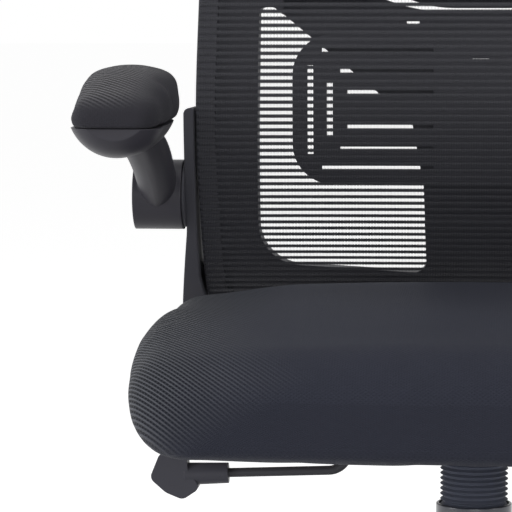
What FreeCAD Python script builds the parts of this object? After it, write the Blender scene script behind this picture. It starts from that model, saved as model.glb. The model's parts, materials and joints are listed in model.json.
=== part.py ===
import FreeCAD, Part
import math
import operator
import os
import Sketcher
from FreeCAD import Placement, Rotation, Vector

# Office chair with a mesh back and flip-up arms.  Millimetres, X to the right as seen from in front,
# Y to the rear, Z up; the floor is Z 0 and the gas lift stands on the Z axis.
sizes = {
    # twin-wheel casters
    "wheel_radius": 27.5,
    "wheel_width": 17.0,
    "caster_web": 11.0,
    "caster_trail": 22.0,
    "caster_height": 66.0,
    "hood_wall": 2.2,
    "stem_radius": 5.5,
    "axle_radius": 3.0,
    # five-star base
    "base_reach": 300.0,
    "hub_radius": 38.0,
    "hub_top": 122.0,
    "hub_bottom": 58.0,
    "leg_width": 46.0,
    "leg_wall": 4.0,
    "tip_radius": 20.0,
    "tip_height": 27.0,
    # gas lift
    "stand_radius": 25.0,
    "stand_bottom": 50.0,
    "stand_top": 280.0,
    "stand_wall": 2.5,
    "cylinder_radius": 14.0,
    "rod_radius": 5.0,
    "cover_radius": 29.3,
    "cover_wall": 2.0,
    "cover_top": 326.0,
    "boot_radius": 26.2,
    "boot_depth": 3.3,
    "boot_wall": 1.1,
    "boot_pleats": 21,
    # tilt mechanism
    "housing_bottom": 375.0,
    "housing_width": 108.0,
    "housing_front": 102.0,
    "housing_rear": 56.0,
    "housing_wall": 2.5,
    "plate_wall": 3.0,
    "plate_width": 200.0,
    "plate_front": 104.0,
    "plate_rear": 94.0,
    "tilt_pin_radius": 5.0,
    "tilt_y": 45.0,
    "tilt_z": 397.0,
    "spring_wire": 4.0,
    "spring_turns": 7,
    "lever_z": 396.0,
    "lever_rod_radius": 3.6,
    "knob_radius": 18.0,
    # seat
    "pan_bottom": 425.0,
    "pan_wall": 12.0,
    "pan_width": 400.0,
    "pan_front": 112.0,
    "pan_rear": 205.0,
    "seat_half_width": 258.0,
    "seat_front": 242.0,
    "seat_rear": 236.0,
    "seat_crown": 475.0,
    "seat_lip": 390.0,
    # back
    "back_front": 212.0,
    "back_wrap": 1600.0,
    "back_apex": 640.0,
    "back_low_radius": 305.0,
    "back_high_radius": 1800.0,
    "back_half_width": 239.0,
    "back_top_half": 224.0,
    "back_top": 1040.0,
    "back_bottom": 432.0,
    "mesh_wall": 1.5,
    "rim_wall": 5.5,
    "rim_width": 16.0,
    "frame_wall": 20.0,
    "opening_half": 186.0,
    "spine_half": 46.0,
    "lumbar_half": 158.0,
    "lumbar_height": 128.0,
    "lumbar_z": 621.0,
    "lumbar_wall": 4.0,
    # back carrier with the arm wings
    "wing_inner": 239.6,
    "wing_outer": 247.6,
    "wing_top": 623.0,
    "wing_depth": 44.0,
    "carrier_wall": 20.0,
    "tongue_width": 50.0,
    "tongue_wall": 10.0,
    # flip-up arms
    "pivot_y": 213.0,
    "pivot_z": 549.0,
    "hub_length": 41.0,
    "arm_hub_radius": 29.5,
    "arm_rim": 616.5,
    "arm_half_width": 33.0,
    "arm_shell_depth": 25.0,
    "pad_height": 44.0,
}

doc = FreeCAD.newDocument("office_chair")
sheet = doc.addObject("Spreadsheet::Sheet", "dims")
for row, (alias, value) in enumerate(sizes.items(), start=1):
    sheet.set(f"A{row}", alias)
    sheet.set(f"B{row}", str(value))
    sheet.setAlias(f"B{row}", alias)
doc.recompute()

signs = {"+": operator.add, "-": operator.sub, "*": operator.mul, "/": operator.truediv}


class Size:
    # A measure that carries its sheet formula beside its number.
    def __init__(self, formula, number):
        self.formula = formula
        self.number = float(number)

    def __float__(self):
        return self.number

    def __add__(self, other):
        return joined(self, "+", other)

    def __radd__(self, other):
        return joined(other, "+", self)

    def __sub__(self, other):
        return joined(self, "-", other)

    def __rsub__(self, other):
        return joined(other, "-", self)

    def __mul__(self, other):
        return joined(self, "*", other)

    def __rmul__(self, other):
        return joined(other, "*", self)

    def __truediv__(self, other):
        return joined(self, "/", other)

    def __neg__(self):
        return joined(0, "-", self)


def sized(value):
    return value if isinstance(value, Size) else Size(repr(float(value)), value)


def joined(left, sign, right):
    left = sized(left)
    right = sized(right)
    return Size(f"({left.formula} {sign} {right.formula})", signs[sign](left.number, right.number))


class Sheet:
    # Reads a cell of the sheet by its alias.
    def __getattr__(self, alias):
        return Size("dims." + alias, sheet.get(alias))


d = Sheet()
subparts = []


def bind(thing, prop, value):
    thing.setExpression(prop, sized(value).formula)


def place(thing, at, turn=None):
    thing.Placement = Placement(Vector(*[float(v) for v in at]), turn or Rotation())
    for axis, value in zip("xyz", at):
        bind(thing, f".Placement.Base.{axis}", value)


def keep(thing, label, solids=1):
    thing.Label = label
    subparts.append((thing, solids))
    return thing


turns = {
    "z": Rotation(),
    "x": Rotation(Vector(0, 1, 0), 90),
    "y": Rotation(Vector(1, 0, 0), -90),
}


def cylinder(name, radius, height, at, axis="z"):
    solid = doc.addObject("Part::Cylinder", name)
    bind(solid, "Radius", radius)
    bind(solid, "Height", height)
    place(solid, at, turns[axis])
    return solid


def cone(name, low, high, height, at):
    solid = doc.addObject("Part::Cone", name)
    bind(solid, "Radius1", low)
    bind(solid, "Radius2", high)
    bind(solid, "Height", height)
    place(solid, at)
    return solid


def box(name, low, high):
    solid = doc.addObject("Part::Box", name)
    for prop, first, last in zip(("Length", "Width", "Height"), low, high):
        bind(solid, prop, sized(last) - first)
    place(solid, low)
    return solid


def cut(name, base, tool):
    result = doc.addObject("Part::Cut", name)
    result.Base = base
    result.Tool = tool
    return result


def fuse(name, shapes):
    result = doc.addObject("Part::MultiFuse", name)
    result.Shapes = shapes
    return result


def common(name, shapes):
    result = doc.addObject("Part::MultiCommon", name)
    result.Shapes = shapes
    return result


def group(name, shapes):
    result = doc.addObject("Part::Compound", name)
    result.Links = shapes
    return result


def mirrored(name, source):
    result = doc.addObject("Part::Mirroring", name)
    result.Source = source
    result.Normal = Vector(1, 0, 0)
    return result


def formed(name, shape):
    result = doc.addObject("Part::Feature", name)
    result.Shape = shape
    return result


def fix(sketch, geometry, point, x=None, y=None):
    for kind, value in (("DistanceX", x), ("DistanceY", y)):
        if value is not None:
            index = sketch.addConstraint(Sketcher.Constraint(kind, -1, 1, geometry, point, float(value)))
            bind(sketch, f"Constraints[{index}]", value)


def fixRadius(sketch, geometry, radius):
    index = sketch.addConstraint(Sketcher.Constraint("Radius", geometry, float(radius)))
    bind(sketch, f"Constraints[{index}]", radius)


def outline(sketch, corners):
    # One closed outline; a corner is (x, y), or (x, y, radius) where it is rounded.
    points = [Vector(float(c[0]), float(c[1]), 0) for c in corners]
    count = len(points)
    ends = []
    for i, point in enumerate(points):
        if len(corners[i]) == 2:
            ends.append((point, point, None))
            continue
        back = (points[i - 1] - point).normalize()
        ahead = (points[(i + 1) % count] - point).normalize()
        half = back.getAngle(ahead) / 2
        radius = float(corners[i][2])
        centre = point + (back + ahead).normalize() * (radius / math.sin(half))
        reach = radius / math.tan(half)
        ends.append((point + back * reach, point + ahead * reach, centre))
    lines = []
    for i in range(count):
        run = Part.LineSegment(ends[i][1], ends[(i + 1) % count][0])
        lines.append(sketch.addGeometry(run))
    for i, corner in enumerate(corners):
        before = lines[i - 1]
        after = lines[i]
        arrive, leave, centre = ends[i]
        if centre is None:
            sketch.addConstraint(Sketcher.Constraint("Coincident", before, 2, after, 1))
            fix(sketch, after, 1, corner[0], corner[1])
            continue
        inward = points[i] - points[i - 1]
        outward = points[(i + 1) % count] - points[i]
        leftTurn = inward.cross(outward).z > 0
        first, last = (arrive, leave) if leftTurn else (leave, arrive)
        start = math.atan2(first.y - centre.y, first.x - centre.x)
        stop = math.atan2(last.y - centre.y, last.x - centre.x)
        circle = Part.Circle(centre, Vector(0, 0, 1), float(corner[2]))
        arc = sketch.addGeometry(Part.ArcOfCircle(circle, start, stop))
        near, far = (1, 2) if leftTurn else (2, 1)
        sketch.addConstraint(Sketcher.Constraint("Tangent", before, 2, arc, near))
        sketch.addConstraint(Sketcher.Constraint("Tangent", arc, far, after, 1))
        fixRadius(sketch, arc, corner[2])
        apex = sketch.addGeometry(Part.Point(points[i]), True)
        sketch.addConstraint(Sketcher.Constraint("PointOnObject", apex, 1, before))
        sketch.addConstraint(Sketcher.Constraint("PointOnObject", apex, 1, after))
        fix(sketch, apex, 1, corner[0], corner[1])


def freeSketch(name, plane):
    sketch = doc.addObject("Sketcher::SketchObject", name)
    angles = {"YZ": (90, 0, 90), "XZ": (0, 0, 90), "XY": (0, 0, 0)}[plane]
    sketch.Placement = Placement(Vector(), Rotation(*angles))
    return sketch


def prism(name, plane, outlines, start, length):
    # Outlines in one plane, drawn out along the third axis.
    sketch = freeSketch(name + "_outline", plane)
    for corners in outlines:
        outline(sketch, corners)
    axis = {"YZ": "x", "XZ": "y", "XY": "z"}[plane]
    bind(sketch, f".Placement.Base.{axis}", start)
    solid = doc.addObject("Part::Extrusion", name)
    solid.Base = sketch
    solid.DirMode = "Custom"
    solid.Dir = {"x": Vector(1, 0, 0), "y": Vector(0, 1, 0), "z": Vector(0, 0, 1)}[axis]
    solid.Solid = True
    bind(solid, "LengthFwd", length)
    return solid


def bodyPlane(body, role):
    return next(f for f in body.Origin.OriginFeatures if f.Role == role)


def bodySketch(body, name, role, outlines, lift=0):
    sketch = body.newObject("Sketcher::SketchObject", name)
    sketch.AttachmentSupport = [(bodyPlane(body, role), "")]
    sketch.MapMode = "FlatFace"
    bind(sketch, "AttachmentOffset.Base.z", lift)
    for corners in outlines:
        outline(sketch, corners)
    return sketch


def turned(name, corners):
    # A body turned about the Z axis from a half section given as (radius, height) corners.
    body = doc.addObject("PartDesign::Body", name)
    sketch = bodySketch(body, name + "_section", "XZ_Plane", [corners])
    turn = body.newObject("PartDesign::Revolution", name + "_turn")
    turn.Profile = sketch
    turn.ReferenceAxis = (sketch, ["V_Axis"])
    turn.Angle = 360
    return body


def padded(name, outlines, role, lift, length):
    body = doc.addObject("PartDesign::Body", name)
    sketch = bodySketch(body, name + "_outline", role, outlines, lift)
    pad = body.newObject("PartDesign::Pad", name + "_pad")
    pad.Profile = sketch
    bind(pad, "Length", length)
    return body


def loft(wires):
    return Part.makeLoft(wires, True, False)


# casters: one set is drawn under leg one's stem axis and then placed at each leg
hoodRadius = d.wheel_radius + 1 + d.hood_wall
hoodHalf = d.caster_web / 2 + 0.5 + d.wheel_width + 0.8
axleAt = d.caster_trail
hoodBlank = cylinder("hood_blank", hoodRadius, hoodHalf * 2, (-hoodHalf, -axleAt, d.wheel_radius), "x")
hoodClear = box("hood_clear", (-60, -axleAt - 80, -20), (60, -axleAt + 80, d.wheel_radius - 3))
hoodDome = cut("hood_dome", hoodBlank, hoodClear)
wheelClear = []
for side in (-1, 1):
    start = d.caster_web / 2 if side > 0 else -60
    reach = 60 - d.caster_web / 2
    wheelClear.append(cylinder(f"wheel_clear_{side + 1}", d.wheel_radius + 1, reach,
                               (start, -axleAt, d.wheel_radius), "x"))
hoodShell = cut("hood_shell", hoodDome, group("wheel_clears", wheelClear))
webDrop = box("web_drop", (-d.caster_web / 2, -axleAt - 9, d.wheel_radius - 9),
              (d.caster_web / 2, -axleAt + 9, d.wheel_radius + 2))
stemBoss = cylinder("stem_boss", d.stem_radius + 5, d.caster_height - 1 - d.wheel_radius - 4,
                    (0, 0, d.wheel_radius + 4))
bossTie = box("boss_tie", (-d.caster_web / 2, -axleAt, d.wheel_radius + 4),
              (d.caster_web / 2, 0, d.caster_height - 8))
bossFlank = cut("boss_flank", stemBoss, group("boss_clears", wheelClear))
hoodSolid = fuse("hood_solid", [hoodShell, webDrop, bossFlank, bossTie])
stemLow = d.wheel_radius + 8
stem = cylinder("caster_stem", d.stem_radius, d.caster_height + 17 - stemLow, (0, 0, stemLow))
axle = cylinder("caster_axle", d.axle_radius, hoodHalf * 2 - 5,
                (-hoodHalf + 2.5, -axleAt, d.wheel_radius), "x")
pins = group("caster_pins", [stem, axle])
hood = cut("caster_hood", hoodSolid, pins)

rim = 3
wheelSection = [
    (d.axle_radius + 0.05, 0), (d.wheel_radius - rim, 0), (d.wheel_radius, rim, 2),
    (d.wheel_radius, d.wheel_width - rim, 2), (d.wheel_radius - rim, d.wheel_width, 1),
    (d.wheel_radius - 7, d.wheel_width), (d.wheel_radius - 9, d.wheel_width - 4),
    (d.axle_radius + 5, d.wheel_width - 2.5), (d.axle_radius + 0.05, d.wheel_width - 2.5),
]
wheel = turned("caster_wheel", wheelSection)
wheelRight = group("wheel_right", [wheel])
place(wheelRight, (d.caster_web / 2 + 0.5, -axleAt, d.wheel_radius), Rotation(Vector(0, 1, 0), 90))
wheelLeft = group("wheel_left", [wheel])
place(wheelLeft, (-d.caster_web / 2 - 0.5, -axleAt, d.wheel_radius), Rotation(Vector(0, 1, 0), -90))
wheels = group("caster_wheels", [wheelRight, wheelLeft])

legAngles = [-90 + 72 * i for i in range(5)]
trailAngles = [25, -40, 60, -15, 110]
for i, (angle, trail) in enumerate(zip(legAngles, trailAngles), start=1):
    for name, source, solids in (("caster_hood", hood, 1), ("caster_pins", pins, 2), ("caster_wheels", wheels, 2)):
        copy = keep(group(f"{name}_set_{i}", [source]), f"{name}_{i}", solids)
        across = math.cos(math.radians(angle))
        along = math.sin(math.radians(angle))
        place(copy, (d.base_reach * across, d.base_reach * along, 0),
              Rotation(Vector(0, 0, 1), angle + 90 + trail))

# five-star base: hollow legs round a tapered hub
hubBlank = turned("hub_blank", [
    (0, d.hub_bottom), (d.hub_radius - 4, d.hub_bottom, 3), (d.hub_radius, d.hub_top - 14, 3),
    (d.hub_radius, d.hub_top - 5, 3), (d.cover_radius + 1, d.hub_top, 2), (0, d.hub_top)])


def legWire(reach, half, low, high):
    # Cross section of a leg at one distance from the hub, narrower at the top.
    top = half * 0.62
    corners = [(-half, low), (half, low), (half * 0.96, low + (high - low) * 0.5), (top, high), (-top, high),
               (-half * 0.96, low + (high - low) * 0.5)]
    points = [Vector(reach, x, z) for x, z in corners]
    return Part.makePolygon(points + points[:1])


def legSolid(trim, drop):
    half = float(d.leg_width) / 2 - trim
    tip = float(d.tip_radius) - trim
    low = float(d.caster_height)
    top = float(d.hub_top) - 4 - trim
    tipTop = low + float(d.tip_height) - trim
    reach = float(d.base_reach)
    start = float(d.hub_radius) - 12 + drop * 1.6
    stop = reach - drop * 0.9
    stations = [
        (start, half, low - 4, top),
        (start + (stop - start) * 0.35, half * 0.96, low + 4, top - (top - tipTop) * 0.22),
        (start + (stop - start) * 0.7, half * 0.88, low + 3, top - (top - tipTop) * 0.64),
        (stop, min(half * 0.82, tip), low, tipTop),
    ]
    if drop:
        stations = [(r, h, low - 12, t) for r, h, w, t in stations]
    return Part.makeLoft([legWire(*station) for station in stations], True, True)


leg = formed("leg_shell", legSolid(0, 0))
legHollow = formed("leg_hollow", legSolid(float(d.leg_wall), 22))
legRib = box("leg_rib", (d.hub_radius, -1.5, d.caster_height + 5), (d.base_reach - 10, 1.5, d.tip_height + 60))
legOpen = cut("leg_open", leg, legHollow)
legRibbed = common("leg_rib_trim", [legRib, leg])
tip = cylinder("leg_tip", d.tip_radius, d.tip_height, (d.base_reach, 0, d.caster_height))
legWhole = fuse("leg_whole", [legOpen, legRibbed, tip])
socket = cylinder("stem_socket", d.stem_radius + 0.06, 23, (d.base_reach, 0, d.caster_height - 5))
legDone = cut("leg_done", legWhole, socket)
legs = []
for i, angle in enumerate(legAngles, start=1):
    copy = group(f"leg_{i}", [legDone])
    copy.Placement = Placement(Vector(), Rotation(Vector(0, 0, 1), angle))
    legs.append(copy)
starBlank = fuse("star_blank", [hubBlank] + legs)
taperLow = d.stand_radius - 1.4
hubBore = cone("hub_bore", taperLow, d.stand_radius, d.hub_top - d.stand_bottom, (0, 0, d.stand_bottom))
keep(cut("star", starBlank, hubBore), "star_base")

# gas lift
bushIn = d.cylinder_radius + 0.05
standIn = d.stand_radius - d.stand_wall
floorWall = 4
keep(turned("stand", [
    (d.rod_radius + 0.05, d.stand_bottom), (taperLow, d.stand_bottom), (d.stand_radius, d.hub_top),
    (d.stand_radius, d.stand_top), (standIn, d.stand_top), (standIn, d.hub_top),
    (taperLow - d.stand_wall, d.stand_bottom + floorWall), (d.rod_radius + 0.05, d.stand_bottom + floorWall)]),
    "stand_tube")
keep(turned("bush", [
    (bushIn, d.stand_top - 60), (standIn, d.stand_top - 60), (standIn, d.stand_top),
    (d.stand_radius, d.stand_top), (d.stand_radius, d.stand_top + 3, 1), (bushIn, d.stand_top + 3)]), "guide_bush")
coverIn = d.cover_radius - d.cover_wall
keep(turned("cover", [
    (d.stand_radius + 0.05, d.hub_top), (d.cover_radius, d.hub_top), (d.cover_radius, d.cover_top, 1),
    (coverIn, d.cover_top), (coverIn, d.hub_top + 4), (d.stand_radius + 0.05, d.hub_top + 4)]), "column_cover")
raceTop = d.stand_bottom + floorWall + 3
keep(turned("race", [
    (d.rod_radius + 0.3, d.stand_bottom + floorWall), (13, d.stand_bottom + floorWall), (13, raceTop),
    (d.rod_radius + 0.3, raceTop)]), "thrust_race")
ballRadius = 2
balls = []
for i in range(10):
    ball = doc.addObject("Part::Sphere", f"thrust_ball_{i}")
    bind(ball, "Radius", ballRadius)
    turn = math.radians(36 * i)
    place(ball, (9.5 * math.cos(turn), 9.5 * math.sin(turn), raceTop + ballRadius + 0.02))
    balls.append(ball)
keep(group("ball_ring", balls), "thrust_balls", len(balls))
collarLow = raceTop + ballRadius * 2 + 0.04
pistonAt = d.stand_top + 14
pistonRadius = d.cylinder_radius - 2.6
keep(turned("rod", [
    (0, d.stand_bottom - 6), (d.rod_radius - 1, d.stand_bottom - 6), (d.rod_radius - 1, d.stand_bottom - 3),
    (d.rod_radius - 2, d.stand_bottom - 3), (d.rod_radius - 2, d.stand_bottom - 1),
    (d.rod_radius, d.stand_bottom - 1), (d.rod_radius, collarLow), (13, collarLow), (13, collarLow + 3),
    (d.rod_radius, collarLow + 3), (d.rod_radius, pistonAt), (pistonRadius, pistonAt),
    (pistonRadius, pistonAt + 10), (0, pistonAt + 10)]), "piston_rod")
keep(turned("clip", [
    (d.rod_radius - 2, d.stand_bottom - 2.6), (9, d.stand_bottom - 2.6), (9, d.stand_bottom - 1.2),
    (d.rod_radius - 2, d.stand_bottom - 1.2)]), "rod_clip")
cylinderTop = d.lever_z - 9
cylinderLow = d.stand_top - 160
socketLow = d.housing_bottom - 19
pressure = turned("pressure", [
    (d.rod_radius + 0.05, cylinderLow), (d.cylinder_radius, cylinderLow, 1), (d.cylinder_radius, socketLow),
    (d.cylinder_radius - 0.7, cylinderTop), (4.06, cylinderTop), (4.06, cylinderTop - 14),
    (pistonRadius + 0.06, cylinderTop - 20), (pistonRadius + 0.06, cylinderLow + 8),
    (d.rod_radius + 0.05, cylinderLow + 8)])
keep(pressure, "pressure_cylinder")
buttonTop = d.lever_z - d.lever_rod_radius - 0.3
keep(turned("valve", [
    (0, cylinderTop - 12), (4, cylinderTop - 12), (4, buttonTop, 1), (0, buttonTop)]), "valve_button")

# rubber boot: straight collars and a run of pleats between them
bootLow = float(d.stand_top) + 3.3
bootHigh = float(d.housing_bottom) - 0.3
pleats = int(float(d.boot_pleats))
collar = 4
crest = float(d.boot_radius)
root = crest - float(d.boot_depth)
wall = float(d.boot_wall)
pitch = (bootHigh - bootLow - 2 * collar) / pleats


def pleatLine(inset):
    points = [(root - inset, bootLow), (root - inset, bootLow + collar)]
    for i in range(pleats):
        base = bootLow + collar + i * pitch
        points.append((crest - inset, base + pitch / 2))
        points.append((root - inset, base + pitch))
    points.append((root - inset, bootHigh))
    return points


bootLoop = pleatLine(0) + pleatLine(wall)[::-1]
bootEdge = Part.makePolygon([Vector(r, 0, z) for r, z in bootLoop + bootLoop[:1]])
keep(formed("boot", Part.Face(bootEdge).revolve(Vector(), Vector(0, 0, 1), 360)), "dust_boot")

# tilt mechanism housing: a tray with a taper socket, its walls lower behind the pin
halfHousing = d.housing_width / 2
wallIn = halfHousing - d.housing_wall
plateLow = d.pan_bottom - d.plate_wall
wallTop = plateLow - 1.2
rearTop = d.tilt_z - 4
sideOutline = [
    (-d.housing_front, d.housing_bottom, 6), (d.housing_rear, d.housing_bottom, 6), (d.housing_rear, rearTop, 4),
    (-d.tilt_y + 4, wallTop), (-d.housing_front, wallTop)]
tray = prism("tray", "YZ", [sideOutline], -halfHousing, d.housing_width)
trayClear = box("tray_clear", (-wallIn, -d.housing_front + d.housing_wall, d.housing_bottom + d.housing_wall),
                (wallIn, d.housing_rear - d.housing_wall, d.pan_bottom + 10))
trayOpen = cut("tray_open", tray, trayClear)
socketTube = cylinder("socket_tube", d.cylinder_radius + 5.5, cylinderTop - 2 - socketLow, (0, 0, socketLow))
trayFull = fuse("tray_full", [trayOpen, socketTube])
socketBore = cone("socket_bore", d.cylinder_radius, d.cylinder_radius - 0.7, cylinderTop - socketLow,
                  (0, 0, socketLow))
pinLength = d.housing_width + 12
pin = cylinder("pin", d.tilt_pin_radius, pinLength, (-pinLength / 2, -d.tilt_y, d.tilt_z), "x")
keep(pin, "tilt_pin")
bushRadius = d.lever_rod_radius + 3
leverHole = cylinder("lever_hole", bushRadius + 0.5, 20, (-halfHousing - 8, 0, d.lever_z), "x")
tensionY = d.tilt_y + 34
tensionZ = d.housing_bottom + 22
tensionHole = cylinder("tension_hole", 5.05, 20, (halfHousing - 10, -tensionY, tensionZ), "x")
keep(cut("housing", trayFull, group("housing_holes", [socketBore, pin, leverHole, tensionHole])),
     "mechanism_housing")
sleeveRadius = d.tilt_pin_radius + 2.3
sleeveBlank = cylinder("sleeve_blank", sleeveRadius, wallIn * 2 - 1, (-wallIn + 0.5, -d.tilt_y, d.tilt_z), "x")
keep(cut("sleeve", sleeveBlank, pin), "tilt_sleeve")


def coil(radius, wire, turnsWanted, left, centre):
    # One unbroken wound wire along X: two arcs to each half turn, with a straight run at each end.
    steps = turnsWanted * 4
    rise = wire * 1.12 / 4
    points = []
    for i in range(steps + 1):
        angle = math.pi / 2 * i
        points.append(Vector(left + rise * i, centre.y - radius * math.cos(angle), centre.z + radius * math.sin(angle)))
    edges = []

    def tangentAt(i):
        angle = math.pi / 2 * i
        return Vector(rise / (math.pi / 2), radius * math.sin(angle), radius * math.cos(angle)).normalize()

    first = tangentAt(0)
    edges.append(Part.makeLine(points[0] - first * wire * 1.6, points[0]))
    for i in range(steps):
        start, stop = points[i], points[i + 1]
        one, two = tangentAt(i), tangentAt(i + 1)
        gap = stop - start
        both = one + two
        lean = 2 * (1 - one.dot(two))
        reach = (-gap.dot(both) + math.sqrt(gap.dot(both) ** 2 + lean * gap.dot(gap))) / lean
        middle = (start + one * reach + stop - two * reach) * 0.5
        for begin, heading, finish in ((start, one, middle), (middle, None, stop)):
            if heading is None:
                chord = finish - begin
                heading = (chord * (2 * chord.dot(two) / chord.dot(chord)) - two).normalize()
            chord = finish - begin
            side = (heading.cross(chord)).cross(heading).normalize()
            bend = chord.dot(chord) / (2 * chord.dot(side))
            hub = begin + side * bend
            peak = hub + ((begin - hub) + (finish - hub)).normalize() * bend
            edges.append(Part.Arc(begin, peak, finish).toShape())
    last = tangentAt(steps)
    edges.append(Part.makeLine(points[-1], points[-1] + last * wire * 1.6))
    path = Part.Wire(edges)
    spots = path.discretize(Number=turnsWanted * 96)
    pairs = ((i, j) for i in range(len(spots)) for j in range(i + 60, len(spots)))
    least = min(spots[i].distanceToPoint(spots[j]) for i, j in pairs)
    print("tilt spring: least gap to itself", round(least - wire, 2), "mm")
    ring = Part.Wire([Part.Circle(points[0] - first * wire * 1.6, first, wire / 2).toShape()])
    return path.makePipeShell([ring], True, False)


wire = float(d.spring_wire)
coilRadius = float(sleeveRadius) + wire / 2 + 0.25
coilTurns = int(float(d.spring_turns))
coilCentre = Vector(0, -float(d.tilt_y), float(d.tilt_z))
coilLength = wire * 1.12 * coilTurns
coils = []
for i, start in enumerate((-8 - coilLength, 8)):
    coils.append(formed(f"coil_{i}", coil(coilRadius, wire, coilTurns, start, coilCentre)))
keep(group("springs", coils), "tilt_spring", len(coils))

# height lever: a bent rod through a pivot bush, with a sleeve and paddle at its end
bushBlank = cylinder("lever_bush_blank", bushRadius, 8, (-halfHousing - 3, 0, d.lever_z), "x")
bushBore = cylinder("lever_bush_bore", d.lever_rod_radius + 0.05, 30, (-halfHousing - 15, 0, d.lever_z), "x")
keep(cut("lever_pivot", bushBlank, bushBore), "lever_bush")


def roundedPath(points, radii):
    edges = []
    at = points[0]
    for i in range(1, len(points) - 1):
        back = (points[i - 1] - points[i]).normalize()
        ahead = (points[i + 1] - points[i]).normalize()
        half = back.getAngle(ahead) / 2
        reach = radii[i - 1] / math.tan(half)
        arrive = points[i] + back * reach
        leave = points[i] + ahead * reach
        middle = (back + ahead).normalize()
        peak = points[i] + middle * (radii[i - 1] / math.sin(half) - radii[i - 1])
        edges.append(Part.makeLine(at, arrive))
        edges.append(Part.Arc(arrive, peak, leave).toShape())
        at = leave
    edges.append(Part.makeLine(at, points[-1]))
    return Part.Wire(edges)


leverTop = float(d.lever_z)
wallX = -float(halfHousing)
drop = leverTop - 46.5
leverPath = roundedPath([Vector(19, 0, leverTop), Vector(wallX - 25, 0, leverTop), Vector(wallX - 49, 0, drop),
                         Vector(-220, 0, drop - 4.5)], [16, 16])
rodRing = Part.Wire([Part.Circle(Vector(19, 0, leverTop), Vector(-1, 0, 0), float(d.lever_rod_radius)).toShape()])
leverRod = formed("lever_bar", leverPath.makePipeShell([rodRing], True, False))
keep(leverRod, "lever_rod")
gripTurn = Rotation(Vector(0, 1, 0), -90 - math.degrees(math.atan2(4.5, 220 + wallX - 49)))
grip = doc.addObject("Part::Cone", "lever_grip")
bind(grip, "Radius1", d.lever_rod_radius + 4.4)
bind(grip, "Radius2", d.lever_rod_radius + 5.2)
bind(grip, "Height", 34)
place(grip, (-190.5, 0, d.lever_z - 50), gripTurn)
paddle = prism("paddle", "XZ", [[
    (-243.5, d.lever_z - 34, 5), (-251.5, d.lever_z - 54, 6), (-239, d.lever_z - 65, 14),
    (-225.5, d.lever_z - 70.5, 7), (-211.5, d.lever_z - 61, 5), (-221.5, d.lever_z - 48.5, 9),
    (-222.5, d.lever_z - 37, 4)]], -8, 16)
handleFull = fuse("handle_full", [grip, paddle])
keep(cut("handle", handleFull, leverRod), "lever_handle")

# tension knob on the other side
knobAt = halfHousing + 17
keep(cylinder("tension_bar", 5, knobAt + 16 - wallIn + 22, (wallIn - 22, -tensionY, tensionZ), "x"), "tension_screw")
knobBlank = cylinder("knob_blank", d.knob_radius, 24, (knobAt, -tensionY, tensionZ), "x")
flutes = []
for i in range(8):
    turn = math.radians(45 * i)
    flutes.append(cylinder(f"flute_{i}", 4, 30, (
        knobAt - 3, -tensionY + (d.knob_radius + 2) * math.cos(turn),
        tensionZ + (d.knob_radius + 2) * math.sin(turn)), "x"))
knobBore = cylinder("knob_bore", 5, knobAt + 16 - halfHousing, (halfHousing, -tensionY, tensionZ), "x")
keep(cut("knob", knobBlank, group("knob_cuts", flutes + [knobBore])), "tension_knob")

# seat plate on the tilt pin, pan and their bolts
halfPlate = d.plate_width / 2
earAt = halfHousing + 0.6
plateFlat = padded("plate_flat", [[
    (-halfPlate, -d.plate_front, 18), (halfPlate, -d.plate_front, 18), (halfPlate, d.plate_rear, 18),
    (-halfPlate, d.plate_rear, 18)]], "XY_Plane", plateLow, d.plate_wall)
ears = []
for side in (-1, 1):
    earOutline = [(-d.tilt_y - 20, plateLow + 1), (-d.tilt_y - 10, d.tilt_z - 10, 8),
                  (-d.tilt_y + 10, d.tilt_z - 10, 8), (-d.tilt_y + 20, plateLow + 1)]
    ears.append(prism(f"ear_{side + 1}", "YZ", [earOutline], earAt if side > 0 else -earAt - d.plate_wall,
                      d.plate_wall))
plateFull = fuse("plate_full", [plateFlat] + ears)
earHole = cylinder("ear_hole", d.tilt_pin_radius + 0.05, 200, (-100, -d.tilt_y, d.tilt_z), "x")


def boltUp(name, x, y, headTop, shank, length):
    head = cylinder(name + "_head", shank + 3, 4.5, (x, y, headTop - 4.5))
    shaft = cylinder(name + "_shank", shank, length, (x, y, headTop))
    return fuse(name, [head, shaft])


seatBolts = []
for i, (x, y) in enumerate(((-1, -1), (1, -1), (1, 1), (-1, 1))):
    along = d.plate_rear - 16 if y > 0 else -d.plate_front + 16
    seatBolts.append(boltUp(f"seat_bolt_{i}", (halfPlate - 16) * x, along, plateLow, 4, d.plate_wall + d.pan_wall - 2))
seatBoltGroup = keep(group("seat_bolt_set", seatBolts), "seat_bolts", 4)
plateCut = cut("plate_cut", plateFull, earHole)
keep(cut("plate", plateCut, seatBoltGroup), "seat_plate")
tongueAt = 80
carrierBolts = []
for i, (x, y) in enumerate(((-1, 0), (1, 0), (1, 1), (-1, 1))):
    carrierBolts.append(boltUp(f"carrier_bolt_{i}", x * tongueAt, d.plate_rear + 36 + y * 55,
                               d.pan_bottom - d.tongue_wall, 4, d.tongue_wall + d.pan_wall - 2))
carrierBoltGroup = keep(group("carrier_bolt_set", carrierBolts), "carrier_bolts", 4)
panBlank = padded("pan_blank", [[
    (-d.pan_width / 2, -d.pan_front, 45), (d.pan_width / 2, -d.pan_front, 45), (d.pan_width / 2, d.pan_rear, 60),
    (-d.pan_width / 2, d.pan_rear, 60)]], "XY_Plane", d.pan_bottom, d.pan_wall)
panHoles = group("pan_holes", [seatBoltGroup, carrierBoltGroup])
keep(cut("pan", panBlank, panHoles), "seat_pan")


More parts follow.
